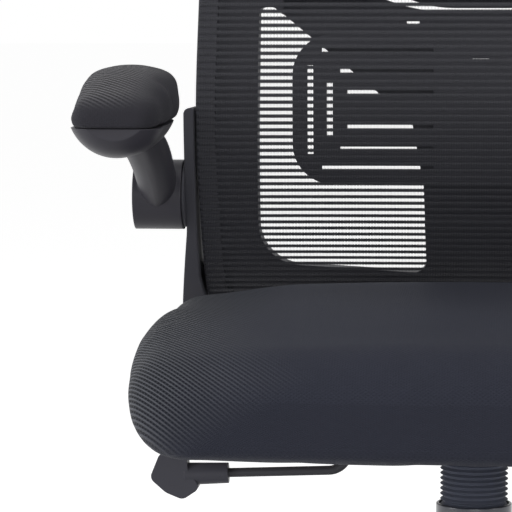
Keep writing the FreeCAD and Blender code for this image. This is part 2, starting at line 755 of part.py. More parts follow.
def seatWire(y, half, low, top, crown, waist):
    # Cross section of the cushion: drawn-in lower sides, widest at the waist, crowned top with a
    # tighter shoulder where the waist is high.
    middle = low + (top - low) * waist
    tuck = min(40.0, half * 0.3)
    shoulder = tuck * (0.9 - (waist - 0.47) * 2.4)
    points = {
        "low": Vector(half - tuck, y, low), "flank": Vector(half - tuck * 0.2, y, low + (middle - low) * 0.36),
        "side": Vector(half, y, middle), "edge": Vector(half - shoulder * 0.25, y, middle + (top - middle) * 0.72),
        "rise": Vector(half - shoulder, y, top), "crown": Vector(0, y, top + crown)}
    other = {name: Vector(-p.x, p.y, p.z) for name, p in points.items()}
    edges = [
        Part.makeLine(other["low"], points["low"]),
        Part.Arc(points["low"], points["flank"], points["side"]).toShape(),
        Part.Arc(points["side"], points["edge"], points["rise"]).toShape(),
        Part.Arc(points["rise"], points["crown"], other["rise"]).toShape(),
        Part.Arc(other["rise"], other["edge"], other["side"]).toShape(),
        Part.Arc(other["side"], other["flank"], other["low"]).toShape()]
    return Part.Wire(edges)


seatHalf = float(d.seat_half_width)
seatFront = float(d.seat_front)
seatRear = float(d.seat_rear)
crownZ = float(d.seat_crown)
lipZ = float(d.seat_lip)
panZ = float(d.pan_bottom)
seatSections = [
    (-seatFront, seatHalf * 0.80, lipZ + 14, crownZ - 42, 4, 0.47),
    (-seatFront + 7, seatHalf * 0.868, lipZ + 4, crownZ - 28, 6, 0.47),
    (-seatFront + 22, seatHalf * 0.915, lipZ, crownZ - 19, 8, 0.47),
    (-seatFront + 62, seatHalf * 0.957, lipZ + 4, crownZ - 13, 8, 0.50),
    (-seatFront + 130, seatHalf * 0.985, panZ - 6, crownZ - 10, 8, 0.55),
    (0, seatHalf, panZ - 6, crownZ - 8, 8, 0.63),
    (seatRear - 110, seatHalf * 1.01, panZ - 6, crownZ - 7, 8, 0.66),
    (seatRear - 40, seatHalf, panZ - 5, crownZ - 7, 8, 0.66),
    (seatRear - 10, seatHalf * 0.94, panZ - 4, crownZ - 14, 6, 0.60),
    (seatRear, seatHalf * 0.87, panZ + 6, crownZ - 26, 4, 0.55),
]
cushionBlank = formed("cushion_blank", loft([seatWire(*section) for section in seatSections]))
underClear = box("under_clear", (-300, -d.pan_front - 8, d.pan_bottom - 60), (300, 300, d.pan_bottom))
cushionTrim = cut("cushion_trim", cushionBlank, underClear)
keep(cut("cushion", cushionTrim, panBlank), "seat_cushion")

# back: every curved piece is a band of the same side profile, wrapped round the sitter
highCentre = d.back_front + d.back_high_radius
lowCentre = d.back_front + d.back_low_radius


def band(name, front, rear, low, high, oneArc=False, heel=0):
    # Front and rear are depths behind the mesh face; low and high are heights, and the heel lifts
    # the rear face's lower end to make that end square.
    sketch = freeSketch(name + "_profile", "YZ")
    apex = d.back_apex
    runs = []
    if oneArc:
        runs.append((low, high, lowCentre, d.back_low_radius))
    else:
        if float(low) < float(apex):
            runs.append((low, apex if float(high) > float(apex) else high, lowCentre, d.back_low_radius))
        if float(high) > float(apex):
            runs.append((apex if float(low) < float(apex) else low, high, highCentre, d.back_high_radius))
    bottoms = []
    tops = []
    for depth, lift in ((front, 0), (rear, heel)):
        for index, (start, stop, centre, radius) in enumerate(runs):
            begin = start + lift if index == 0 else start
            reach = float(radius) - float(depth)
            middle = Vector(float(centre), float(apex), 0)
            lowAngle = math.pi + math.asin((float(apex) - float(begin)) / reach)
            highAngle = math.pi + math.asin((float(apex) - float(stop)) / reach)
            circle = Part.Circle(middle, Vector(0, 0, 1), reach)
            arc = sketch.addGeometry(Part.ArcOfCircle(circle, highAngle, lowAngle))
            fix(sketch, arc, 3, centre, apex)
            fixRadius(sketch, arc, sized(radius) - depth)
            fix(sketch, arc, 1, None, stop)
            fix(sketch, arc, 2, None, begin)
            if index == 0:
                bottoms.append(arc)
            if index == len(runs) - 1:
                tops.append(arc)
    for pair, end in ((bottoms, 2), (tops, 1)):
        shape = sketch.Geometry
        point = [shape[i].EndPoint if end == 2 else shape[i].StartPoint for i in pair]
        line = sketch.addGeometry(Part.LineSegment(*point))
        sketch.addConstraint(Sketcher.Constraint("Coincident", line, 1, pair[0], end))
        sketch.addConstraint(Sketcher.Constraint("Coincident", line, 2, pair[1], end))
    return sketch


def wrapped(name, sketch, degrees):
    turn = doc.addObject("Part::Revolution", name)
    turn.Source = sketch
    turn.Axis = Vector(0, 0, 1)
    turn.Solid = True
    turn.Symmetric = True
    bind(turn, "Angle", degrees)
    bind(turn, "Base.y", d.back_front - d.back_wrap)
    return turn


fullWrap = 24


def backPiece(name, front, rear, low, high, outlines, oneArc=False, heel=0):
    sheetBand = wrapped(name + "_band", band(name, front, rear, low, high, oneArc, heel), fullWrap)
    mask = prism(name + "_mask", "XZ", outlines, 60, 500)
    return common(name, [sheetBand, mask])


def ringCorners(inset):
    half = d.back_half_width - inset
    topHalf = d.back_top_half - inset
    low = d.back_bottom + inset
    high = d.back_top - inset
    return [(-half + 4, low, 40 - inset), (half - 4, low, 40 - inset), (half, d.lumbar_z, 1500),
            (topHalf, high - 8, 74 - inset), (0, high, 900), (-topHalf, high - 8, 74 - inset),
            (-half, d.lumbar_z, 1500)]


def flipped(corners):
    return [(-c[0],) + tuple(c[1:]) for c in corners][::-1]


def slit(x, z, width, height):
    return [(x - width / 2, z - height / 2), (x + width / 2, z - height / 2), (x + width / 2, z + height / 2),
            (x - width / 2, z + height / 2)]


outer = ringCorners(0)
bandLow = d.back_bottom - 20
bandHigh = d.back_top + 10
meshRear = d.mesh_wall
rimRear = d.mesh_wall + d.rim_wall
frameRear = rimRear + d.frame_wall
keep(backPiece("mesh", 0, meshRear, bandLow, bandHigh, [outer]), "back_mesh")
keep(backPiece("rim", meshRear, rimRear, bandLow, bandHigh, [outer, ringCorners(d.rim_width)]), "mesh_rim")
lowOpening = [
    (-d.opening_half - 3, d.back_bottom + 56, 36), (-d.spine_half, d.back_bottom + 46.5, 11),
    (-d.spine_half - 2, d.back_apex - 84, 60), (-d.spine_half - 12, d.back_apex - 28, 8),
    (-d.opening_half + 12.5, d.back_apex + 67, 5),
    (-d.opening_half, d.back_apex + 67, 5)]
panelHalf = 95
upOpening = [
    (-d.opening_half, d.back_apex + 112, 25), (-52, d.back_apex + 63, 150), (52, d.back_apex + 63, 150),
    (d.opening_half, d.back_apex + 112, 25), (d.opening_half - 14, d.back_top - 56, 40),
    (panelHalf + 8, d.back_top - 56, 20), (panelHalf, d.back_apex + 86, 30), (40, d.back_apex + 66.3, 100),
    (-40, d.back_apex + 66.3, 100), (-panelHalf, d.back_apex + 86, 30), (-panelHalf - 8, d.back_top - 56, 20),
    (-d.opening_half + 14, d.back_top - 56, 40)]
slideHalf = 6.3
guideSlot = [(-slideHalf, d.lumbar_z - 51), (slideHalf, d.lumbar_z - 51), (slideHalf, d.lumbar_z + 33),
             (-slideHalf, d.lumbar_z + 33)]
frameOutlines = [outer, lowOpening, flipped(lowOpening), upOpening, guideSlot,
                 slit(0, d.back_apex + 23, 14, 2.4), slit(-57.5, d.back_apex + 53.7, 11, 3),
                 slit(57.5, d.back_apex + 53.7, 11, 3)]
frameBlank = backPiece("frame_blank", rimRear, frameRear, bandLow, bandHigh, frameOutlines)
lumbarFront = d.mesh_wall + 3
lumbarRear = lumbarFront + d.lumbar_wall
lumbarReach = d.lumbar_height / 2 + 30
recessWrap = math.degrees(math.asin((float(d.lumbar_half) + 7) / float(d.back_wrap))) * 2
recess = wrapped("lumbar_recess", band("lumbar_recess_side", -8, lumbarRear + 1.2, d.lumbar_z - lumbarReach,
                                       d.lumbar_z + lumbarReach, True), recessWrap)
frameCut = cut("frame_cut", frameBlank, recess)

# lumbar plate with its rows of slots, on a slider through the spine
half = d.lumbar_half
low = d.lumbar_z - d.lumbar_height / 2
high = d.lumbar_z + d.lumbar_height / 2
plateOutlines = [[(-half, low, 35), (half, low, 35), (half, high, 35), (-half, high, 35)]]
slotHeight = 4.4
for inset, rise in ((24.5, 49.7), (40, 33.4), (46, 14.6)):
    for side in (-1, 1):
        for up in (-1, 1):
            width = half - inset - 40
            plateOutlines.append(slit((40 + width / 2) * side, d.lumbar_z + rise * up, width, slotHeight))
for inset, tall in ((15, 75), (31.3, 47)):
    for side in (-1, 1):
        plateOutlines.append(slit((half - inset) * side, d.lumbar_z, 5, tall))
plateOutlines.append(slit(0, d.back_apex + 23, 14, 2.4))
keep(backPiece("lumbar", lumbarFront, lumbarRear, low - 4, high + 4, plateOutlines, True), "lumbar_plate")
blockLow = d.lumbar_z - 22
blockHigh = d.lumbar_z + 4
sliderBlock = backPiece("slider_block", lumbarRear, frameRear + 1.5, blockLow - 4, blockHigh + 4, [[
    (-slideHalf + 0.3, blockLow), (slideHalf - 0.3, blockLow), (slideHalf - 0.3, blockHigh),
    (-slideHalf + 0.3, blockHigh)]], True)
sliderFoot = backPiece("slider_foot", frameRear + 0.5, frameRear + 4.5, blockLow - 12, blockHigh + 12, [[
    (-18, blockLow - 7, 5), (18, blockLow - 7, 5), (18, blockHigh + 7, 5), (-18, blockHigh + 7, 5)]], True)
keep(fuse("slider", [sliderBlock, sliderFoot]), "lumbar_slider")

# back carrier: two wings, a cross bar behind the frame and tongues under the seat
wingInner = d.wing_inner
wingOuter = d.wing_outer
carrierLow = d.pan_bottom + 3
crossHigh = d.back_bottom + 45
wingOutline = [
    (-wingOuter, d.wing_top, 5), (-wingOuter, d.pivot_z - 31, 60), (-wingOuter - 8, d.pan_bottom + 28, 60),
    (-wingOuter - 8, carrierLow - 30), (-wingInner + 14, carrierLow - 30), (-wingInner, d.back_bottom + 44),
    (-wingInner, d.wing_top, 2)]
wings = backPiece("wings", -8, -8 + d.wing_depth, carrierLow + 17, d.wing_top + 10,
                  [wingOutline, flipped(wingOutline)], heel=27)
crossFront = frameRear
crossLow = carrierLow - 8
tabHigh = crossHigh + 30
tabHalf = wingOuter + 3
crossSide = [(tabHalf, crossLow, 4), (tabHalf, tabHigh, 6), (tabHalf - 24, tabHigh, 6),
             (tabHalf - 36, crossHigh, 14), (d.spine_half + 40, crossHigh, 12), (d.spine_half + 20, crossHigh - 14, 12)]
crossOutline = crossSide + flipped(crossSide)
crossBar = backPiece("cross_bar", crossFront, crossFront + d.carrier_wall, carrierLow, crossHigh + 10,
                     [crossOutline], heel=15)
tongueLow = d.pan_bottom - d.tongue_wall
tongueFront = d.plate_rear + 12
tongueSide = [
    (tongueFront, d.pan_bottom), (tongueFront, tongueLow, 3), (d.back_front + 118, tongueLow, 12),
    (d.back_front + 142, d.back_bottom + 7, 4), (d.back_front + 133, d.back_bottom + 14),
    (d.back_front + 122, d.back_bottom - 1), (d.back_front + 108, d.pan_bottom)]
tongues = []
for side in (-1, 1):
    start = tongueAt * side - d.tongue_width / 2
    tongues.append(prism(f"tongue_{side + 1}", "YZ", [tongueSide], start, d.tongue_width))


def backScrew(name, across, z):
    # A screw square to the band: drawn on the middle line, then swung round the wrap axis.
    rear = float(frameRear) + float(d.carrier_wall)
    reach = float(d.back_low_radius) - rear
    apex = float(d.back_apex)
    angle = math.asin((apex - z) / reach)
    inward = Vector(0, -math.cos(angle), -math.sin(angle))
    seat = Vector(0, float(lowCentre), apex) + inward * reach
    tip = float(d.carrier_wall) + 13
    shaft = Part.makeCylinder(3, tip + 0.1, seat - inward * 0.1, inward)
    head = Part.makeCylinder(5.5, 4, seat - inward * 4.1, inward)
    drill = Part.makeCylinder(3, tip + 6, seat - inward * 6, inward)
    axis = Vector(0, float(d.back_front) - float(d.back_wrap), 0)
    shapes = []
    for shape in (shaft.fuse(head).removeSplitter(), drill):
        shape.rotate(axis, Vector(0, 0, 1), math.degrees(math.asin(across / float(d.back_wrap))))
        shapes.append(shape)
    return formed(name, shapes[0]), formed(name + "_drill", shapes[1])


screws = []
drills = []
for i, across in enumerate((-190, -115, 115, 190)):
    screw, drill = backScrew(f"frame_screw_{i}", across, float(d.back_bottom) + 24)
    screws.append(screw)
    drills.append(drill)
keep(group("frame_screw_set", screws), "frame_screws", len(screws))
drillGroup = group("frame_drills", drills)
keep(cut("frame", frameCut, drillGroup), "back_frame")

# flip-up arms: the left one is drawn, the right one is its mirror image
hubOuter = wingOuter + 2.4 + d.hub_length
armBolt = fuse("arm_bolt", [
    cylinder("arm_bolt_head", 9, 5, (-hubOuter + 7, d.pivot_y, d.pivot_z), "x"),
    cylinder("arm_bolt_shank", 5, hubOuter - 7 - wingInner - 0.5, (-hubOuter + 7, d.pivot_y, d.pivot_z), "x")])
keep(armBolt, "arm_bolt_left")
boltRight = keep(mirrored("arm_bolt_mirror", armBolt), "arm_bolt_right")
bossBlank = cylinder("boss_blank", d.arm_hub_radius - 2, 2, (-wingOuter - 2, d.pivot_y, d.pivot_z), "x")
boss = cut("boss", bossBlank, armBolt)
keep(boss, "arm_boss_left")
keep(mirrored("boss_mirror", boss), "arm_boss_right")
wingsDrilled = cut("wings_drilled", cut("wings_left_drilled", wings, armBolt), boltRight)
crossDrilled = cut("cross_bar_drilled", crossBar, drillGroup)
tonguesDrilled = [cut(tongue.Name + "_drilled", tongue, carrierBoltGroup) for tongue in tongues]
keep(fuse("carrier", [wingsDrilled, crossDrilled] + tonguesDrilled), "back_carrier")

rimZ = float(d.arm_rim)
armHalf = float(d.arm_half_width)
shellDepth = float(d.arm_shell_depth)
padHeight = float(d.pad_height)
armBase = float(wingOuter)


def armMiddle(y):
    return -armBase - 20.4 - (y + 80) / 230 * 16


def shellWire(y, width, depth):
    middle = armMiddle(y)
    left = Vector(middle - width, y, rimZ)
    right = Vector(middle + width, y, rimZ)
    keel = Vector(middle, y, rimZ - depth)
    return Part.Wire([Part.makeLine(left, right), Part.Arc(right, keel, left).toShape()])


shellSections = [(-84, 0.62, 0.36), (-74, 0.92, 0.74), (-50, 1.05, 0.94), (0, 1.09, 1), (60, 1.12, 1),
                 (104, 1.05, 0.86), (130, 0.88, 0.5)]
shell = loft([shellWire(y, armHalf * w, shellDepth * t) for y, w, t in shellSections])


def postWire(centre, tilt, width, thick):
    # A rounded section square to the sweep of the post.
    along = Vector(1, 0, 0)
    up = Vector(0, math.cos(tilt), math.sin(tilt))
    spots = []
    for i in range(8):
        turn = math.pi / 4 * i
        spots.append(centre + along * (width / 2 * math.cos(turn)) + up * (thick / 2 * math.sin(turn)))
    edges = []
    for i in range(0, 8, 2):
        edges.append(Part.Arc(spots[i], spots[i + 1], spots[(i + 2) % 8]).toShape())
    return Part.Wire(edges)


pivotY = float(d.pivot_y)
pivotZ = float(d.pivot_z)
hubMiddle = -float(hubOuter) + float(d.hub_length) / 2
postStations = [
    (Vector(hubMiddle, pivotY - 8, pivotZ + 3), math.radians(38), 33, 44),
    (Vector(hubMiddle + 0.5, pivotY - 42, pivotZ + 22), math.radians(60), 33, 38),
    (Vector(hubMiddle - 1, pivotY - 82, pivotZ + 43), math.radians(66), 36, 34),
    (Vector(armMiddle(85), 85, rimZ - 9), math.radians(90), 40, 17),
]
post = loft([postWire(*station) for station in postStations])
hubDrum = Part.makeCylinder(float(d.arm_hub_radius), float(d.hub_length), Vector(-float(hubOuter), pivotY, pivotZ),
                            Vector(1, 0, 0))
capRadius = float(d.arm_hub_radius) - 7
capSeat = Part.makeCylinder(capRadius, 3, Vector(-float(hubOuter), pivotY, pivotZ), Vector(1, 0, 0))
headRoom = Part.makeCylinder(9.3, 13, Vector(-float(hubOuter), pivotY, pivotZ), Vector(1, 0, 0))
boltRoom = Part.makeCylinder(5.05, 80, Vector(-float(hubOuter), pivotY, pivotZ), Vector(1, 0, 0))
rimClear = Part.makeBox(200, 400, 100, Vector(-400, -200, rimZ))
armShape = hubDrum.fuse([post.cut(rimClear), shell]).removeSplitter()
for tool in (capSeat, headRoom, boltRoom):
    armShape = armShape.cut(tool)
armBody = keep(formed("arm", armShape), "arm_body_left")
keep(mirrored("arm_mirror", armBody), "arm_body_right")
armCap = keep(cylinder("cap", d.arm_hub_radius - 7, 3, (-hubOuter, d.pivot_y, d.pivot_z), "x"), "arm_cap_left")
keep(mirrored("cap_mirror", armCap), "arm_cap_right")


def padWire(y, width, height):
    # Flat underneath, bulged flanks and a crowned top.
    middle = armMiddle(y)

    def spot(across, rise):
        return Vector(middle + width * across, y, rimZ + height * rise)

    flank = [(0.95, 0), (1.03, 0.22), (1, 0.5)]
    shoulder = [(1, 0.5), (0.93, 0.77), (0.72, 0.9)]
    edges = [Part.makeLine(spot(-0.95, 0), spot(0.95, 0))]
    for run in (flank, shoulder):
        edges.append(Part.Arc(*[spot(across, rise) for across, rise in run]).toShape())
    edges.append(Part.Arc(spot(0.72, 0.9), spot(0, 1), spot(-0.72, 0.9)).toShape())
    for run in (shoulder, flank):
        edges.append(Part.Arc(*[spot(-across, rise) for across, rise in run[::-1]]).toShape())
    return Part.Wire(edges)


padSections = [(-89, 0.62, 0.24), (-83, 0.88, 0.42), (-68, 1, 0.56), (-30, 1.04, 0.70), (30, 1.1, 0.86),
               (90, 1.15, 0.97), (126, 1.14, 1), (144, 1, 0.88), (151, 0.76, 0.66)]
armPad = keep(formed("pad", loft([padWire(y, armHalf * w, padHeight * t) for y, w, t in padSections])),
              "arm_pad_left")
keep(mirrored("pad_mirror", armPad), "arm_pad_right")

doc.recompute()
faults = [o.Label for o in doc.Objects if "Invalid" in o.State or "Error" in o.State]
for part, solids in subparts:
    shape = part.Shape
    if shape.isNull() or not shape.isValid() or len(shape.Solids) != solids:
        faults.append(part.Label)
if faults:
    raise ValueError("parts at fault: " + ", ".join(faults))
os.makedirs("parts", exist_ok=True)
for part, solids in subparts:
    part.Shape.exportStep(f"parts/{part.Label}.step")
print(len(subparts), "parts written")
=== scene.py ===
import json
import math

import bmesh
import bpy
from mathutils import Matrix, Vector, kdtree


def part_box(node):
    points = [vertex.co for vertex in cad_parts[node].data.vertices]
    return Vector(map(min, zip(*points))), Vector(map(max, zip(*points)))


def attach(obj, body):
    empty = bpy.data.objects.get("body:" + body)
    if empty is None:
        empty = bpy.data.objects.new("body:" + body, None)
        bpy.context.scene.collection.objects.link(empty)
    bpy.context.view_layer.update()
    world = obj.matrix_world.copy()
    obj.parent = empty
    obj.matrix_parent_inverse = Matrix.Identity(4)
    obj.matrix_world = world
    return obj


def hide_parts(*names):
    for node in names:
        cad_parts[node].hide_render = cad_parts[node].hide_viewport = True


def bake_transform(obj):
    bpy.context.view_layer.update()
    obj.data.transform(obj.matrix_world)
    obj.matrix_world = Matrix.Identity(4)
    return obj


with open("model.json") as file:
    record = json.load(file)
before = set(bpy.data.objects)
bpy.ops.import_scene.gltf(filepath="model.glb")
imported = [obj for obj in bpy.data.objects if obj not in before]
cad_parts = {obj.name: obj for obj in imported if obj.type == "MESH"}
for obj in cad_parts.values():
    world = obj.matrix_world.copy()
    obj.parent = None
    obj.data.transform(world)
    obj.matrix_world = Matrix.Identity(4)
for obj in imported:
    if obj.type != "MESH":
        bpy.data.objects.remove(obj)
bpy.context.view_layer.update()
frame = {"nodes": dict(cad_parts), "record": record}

nodes = frame["nodes"]
scene = bpy.context.scene
mm = 0.001
print("frame loaded:", len(nodes), "nodes")


# mesh and object helpers

def newObject(name, bm):
    mesh = bpy.data.meshes.new(name)
    bm.to_mesh(mesh)
    bm.free()
    piece = bpy.data.objects.new(name, mesh)
    scene.collection.objects.link(piece)
    return piece


def smoothShade(piece, degrees=180):
    mesh = piece.data
    mesh.polygons.foreach_set("use_smooth", [True] * len(mesh.polygons))
    if degrees < 180:
        mesh.set_sharp_from_angle(angle=math.radians(degrees))


def dress(piece, material):
    piece.data.materials.clear()
    piece.data.materials.append(material)


def modifier(piece, kind, **settings):
    added = piece.modifiers.new(kind.lower(), kind)
    for key, value in settings.items():
        setattr(added, key, value)
    return added


def applyModifiers(piece):
    bpy.context.view_layer.update()
    shown = piece.evaluated_get(bpy.context.evaluated_depsgraph_get())
    finished = bpy.data.meshes.new_from_object(shown)
    piece.modifiers.clear()
    old = piece.data
    piece.data = finished
    bpy.data.meshes.remove(old)


def ease(value):
    # a soft step from 0 to 1
    share = min(1.0, max(0.0, value))
    return share * share * (3 - 2 * share)


# node helpers

def addNode(tree, kind, inputs=None, **settings):
    # an input that is a socket is linked, any other is set
    added = tree.nodes.new("ShaderNode" + kind)
    for key, value in settings.items():
        setattr(added, key, value)
    for key, value in (inputs or {}).items():
        if isinstance(value, bpy.types.NodeSocket):
            tree.links.new(value, added.inputs[key])
        else:
            added.inputs[key].default_value = value
    return added


def calc(tree, operation, *values, clamp=False):
    added = addNode(tree, "Math", dict(enumerate(values)), operation=operation, use_clamp=clamp)
    return added.outputs[0]


def remap(tree, value, low, high, first=0.0, last=1.0):
    added = addNode(tree, "MapRange", {"Value": value, "From Min": low, "From Max": high,
                                       "To Min": first, "To Max": last},
                    interpolation_type="SMOOTHSTEP")
    return added.outputs["Result"]


def noise(tree, place, scale, detail):
    added = addNode(tree, "TexNoise", {"Vector": place, "Scale": scale, "Detail": detail})
    return added.outputs["Fac"]


def splitVector(tree, vector):
    return addNode(tree, "SeparateXYZ", {0: vector}).outputs


def blendColours(tree, share, first, second):
    added = addNode(tree, "Mix", {0: share, 6: first, 7: second}, data_type="RGBA")
    return added.outputs[2]


def tint(colour, strength=1.0):
    return tuple(c * strength for c in colour) + (1,)


def newGroup(name, inputs, outputs):
    tree = bpy.data.node_groups.new(name, "ShaderNodeTree")
    for label, kind, value in inputs:
        socket = tree.interface.new_socket(label, in_out="INPUT", socket_type="NodeSocket" + kind)
        if value is not None:
            socket.default_value = value
    for label, kind in outputs:
        tree.interface.new_socket(label, in_out="OUTPUT", socket_type="NodeSocket" + kind)
    given = tree.nodes.new("NodeGroupInput").outputs
    made = tree.nodes.new("NodeGroupOutput").inputs
    return tree, given, made


def useGroup(tree, group, inputs):
    return addNode(tree, "Group", inputs, node_tree=group).outputs


def newMaterial(name):
    material = bpy.data.materials.new(name)
    material.use_nodes = True
    tree = material.node_tree
    return material, tree, tree.nodes["Principled BSDF"].inputs


def addRelief(tree, shader, **inputs):
    bump = addNode(tree, "Bump", inputs)
    tree.links.new(bump.outputs["Normal"], shader["Normal"])


def objectPlace(tree):
    return addNode(tree, "TexCoord").outputs["Object"]


def clothPlace(tree):
    # the cloth's own measure, laid on the mesh with the piece
    return addNode(tree, "Attribute", attribute_name="clothMap").outputs["Vector"]


# shared effects

mouldGrain = {"size": 0.6 * mm, "detail": 3.0, "driftScale": 9.0, "driftDetail": 4.0}


def makeGrain():
    # fine pitted skin of moulded plastic, with a slow drift of tone
    tree, given, made = newGroup(
        "mouldGrain", [("Place", "Vector", None), ("Size", "Float", mouldGrain["size"])],
        [("Height", "Float"), ("Drift", "Float")])
    place = given["Place"]
    scale = calc(tree, "DIVIDE", 1.0, given["Size"])
    pits = addNode(tree, "TexVoronoi", {"Vector": place, "Scale": scale}, feature="SMOOTH_F1")
    rough = noise(tree, place, scale, mouldGrain["detail"])
    both = calc(tree, "ADD", pits.outputs["Distance"], rough)
    tree.links.new(calc(tree, "MULTIPLY", both, 0.5), made["Height"])
    drift = noise(tree, place, mouldGrain["driftScale"], mouldGrain["driftDetail"])
    tree.links.new(drift, made["Drift"])
    return tree


softEdge = {
    "radius": 1 * mm,
    "samples": 6,
    "flat": 0.99,  # cosine of the turn at which an edge starts to count
    "sharp": 0.82,  # and at which it counts in full
}


def makeEdgeLight():
    # rounded normal at sharp edges, and a mask of where the edge is
    tree, given, made = newGroup("softEdge", [("Radius", "Float", softEdge["radius"])],
                                 [("Normal", "Vector"), ("Edge", "Float")])
    rounded = addNode(tree, "Bevel", {"Radius": given["Radius"]}, samples=softEdge["samples"])
    flat = addNode(tree, "NewGeometry")
    turn = addNode(tree, "VectorMath", {0: rounded.outputs["Normal"], 1: flat.outputs["Normal"]},
                   operation="DOT_PRODUCT")
    tree.links.new(rounded.outputs["Normal"], made["Normal"])
    edge = remap(tree, turn.outputs["Value"], softEdge["flat"], softEdge["sharp"])
    tree.links.new(edge, made["Edge"])
    return tree


spacerKnit = {
    "pitch": 2.4 * mm,
    "slant": math.radians(50),  # of the threads in the cloth's own measure
    "under": 0.9,  # height of the threads that pass below the others
    "meet": 0.3,  # softness where threads meet
    "cellFrom": 0.25, "cellTo": 0.8,  # where a cell begins and where it is fully open
    "hairScale": 2600.0, "hairDetail": 2.0, "hair": 0.2,
    "flat": 0.25,  # relief of the flat knit beside that of the ribs
    "rib": 3.6 * mm,
    "fall": 0.4,  # how much the ribs' level follows Y
    "spread": 0.8,  # how much the ribs run aside
    "cross": 0.45, "crossMeet": 0.25,  # the lower ribs that cross the main ones
    "crestFrom": 0.2, "crestTo": 0.9,
}


def makeSpacerKnit():
    # crossing threads with open cells between them, laid out in the cloth's own measure; where
    # the cloth is drawn hard over a corner it stands up in ribs that run down and away from it, and
    # this mask also places the painted rib highlight and shade
    s = spacerKnit
    tree, given, made = newGroup(
        "spacerKnit",
        [("Map", "Vector", None), ("Place", "Vector", None), ("Pitch", "Float", s["pitch"]),
         ("Rib", "Float", s["rib"])],
        [("Height", "Float"), ("Cell", "Float"), ("Fibre", "Float"), ("Crest", "Float"),
         ("DrawnAndLit", "Float")])

    def waves(first, second, pitch):
        # two crossing sets of waves, from 0 to 1
        pair = []
        for operation in ("ADD", "SUBTRACT"):
            turns = calc(tree, "DIVIDE", calc(tree, operation, first, second), pitch)
            wave = calc(tree, "COSINE", calc(tree, "MULTIPLY", turns, math.tau))
            pair.append(calc(tree, "MULTIPLY_ADD", wave, 0.5, 0.5))
        return pair

    laid = splitVector(tree, given["Map"])
    over, under = waves(calc(tree, "MULTIPLY", laid["X"], math.cos(s["slant"])),
                        calc(tree, "MULTIPLY", laid["Y"], math.sin(s["slant"])), given["Pitch"])
    raised = calc(tree, "SMOOTH_MAX", over, calc(tree, "MULTIPLY", under, s["under"]), s["meet"])
    gaps = [calc(tree, "SUBTRACT", 1.0, thread) for thread in (over, under)]
    cell = remap(tree, calc(tree, "MULTIPLY", *gaps), s["cellFrom"], s["cellTo"])

    spot = splitVector(tree, given["Place"])
    level = calc(tree, "MULTIPLY_ADD", spot["Y"], s["fall"], spot["Z"])
    aside = calc(tree, "MULTIPLY", calc(tree, "ABSOLUTE", spot["X"]), s["spread"])
    crossRib, mainRib = waves(level, aside, given["Rib"])
    crest = calc(tree, "SMOOTH_MAX", mainRib, calc(tree, "MULTIPLY", crossRib, s["cross"]),
                 s["crossMeet"])

    hair = noise(tree, given["Place"], s["hairScale"], s["hairDetail"])
    haired = calc(tree, "MULTIPLY_ADD", hair, s["hair"], raised)
    even = calc(tree, "MULTIPLY", haired, s["flat"])
    lift = calc(tree, "SUBTRACT", crest, even)
    tree.links.new(calc(tree, "MULTIPLY_ADD", lift, laid["Z"], even), made["Height"])
    tree.links.new(cell, made["Cell"])
    tree.links.new(hair, made["Fibre"])
    tree.links.new(remap(tree, crest, s["crestFrom"], s["crestTo"]), made["Crest"])
    tree.links.new(laid["Z"], made["DrawnAndLit"])
    return tree


grainGroup = makeGrain()
edgeGroup = makeEdgeLight()
knitGroup = makeSpacerKnit()


# finishes

moulded = {
    "pale": 1.25, "deep": 0.82, "highlit": 1.9,  # tones, as shares of the colour; the last is a painted highlight for the edges
    "edgeHighlight": 0.35,  # how far an edge takes the painted highlight tone
    "mattDrift": 0.16,  # change of roughness over the skin
    "pitDepth": 0.2 * mm,
    "coatRoughness": 0.12,
}


def plastic(name, colour, roughness, grain, relief, edge, specular=0.35, coat=0.0):
    # moulded plastic: grain, slow drift of tone, and a painted highlight that lightens the edges
    s = moulded
    material, tree, shader = newMaterial(name)
    skin = useGroup(tree, grainGroup, {"Place": objectPlace(tree), "Size": grain})
    rim = useGroup(tree, edgeGroup, {"Radius": edge})
    tone = blendColours(tree, skin["Drift"], tint(colour, s["deep"]), tint(colour, s["pale"]))
    # painted highlight: the edge mask lightens the colour where the plastic's sheen would catch the
    # light
    edgeHighlight = calc(tree, "MULTIPLY", rim["Edge"], s["edgeHighlight"])
    highlit = blendColours(tree, edgeHighlight, tone, tint(colour, s["highlit"]))
    tree.links.new(highlit, shader["Base Color"])
    matt = calc(tree, "MULTIPLY_ADD", skin["Drift"], s["mattDrift"], roughness - s["mattDrift"] / 2)
    tree.links.new(matt, shader["Roughness"])
    addRelief(tree, shader, Height=skin["Height"], Normal=rim["Normal"], Strength=relief,
              Distance=s["pitDepth"])
    shader["Specular IOR Level"].default_value = specular
    shader["Coat Weight"].default_value = coat
    shader["Coat Roughness"].default_value = s["coatRoughness"]
    return material


plated = {
    "lineScale": 400.0, "lineDetail": 4.0,
    "deep": 0.7,  # tone of a streak, as a share of the colour
    "mattDrift": 0.2,
    "edge": 0.5 * mm,
    "relief": 0.15, "lineDepth": 0.1 * mm,
}


def metal(name, colour, roughness, streak):
    # drawn or plated metal with fine lengthwise streaks
    s = plated
    material, tree, shader = newMaterial(name)
    stretched = addNode(tree, "Mapping", {"Vector": objectPlace(tree), "Scale": streak})
    lines = noise(tree, stretched.outputs[0], s["lineScale"], s["lineDetail"])
    tone = blendColours(tree, lines, tint(colour, s["deep"]), tint(colour))
    tree.links.new(tone, shader["Base Color"])
    matt = calc(tree, "MULTIPLY_ADD", lines, s["mattDrift"], roughness - s["mattDrift"] / 2)
    tree.links.new(matt, shader["Roughness"])
    rim = useGroup(tree, edgeGroup, {"Radius": s["edge"]})
    addRelief(tree, shader, Height=lines, Normal=rim["Normal"], Strength=s["relief"],
              Distance=s["lineDepth"])
    shader["Metallic"].default_value = 1.0
    return material


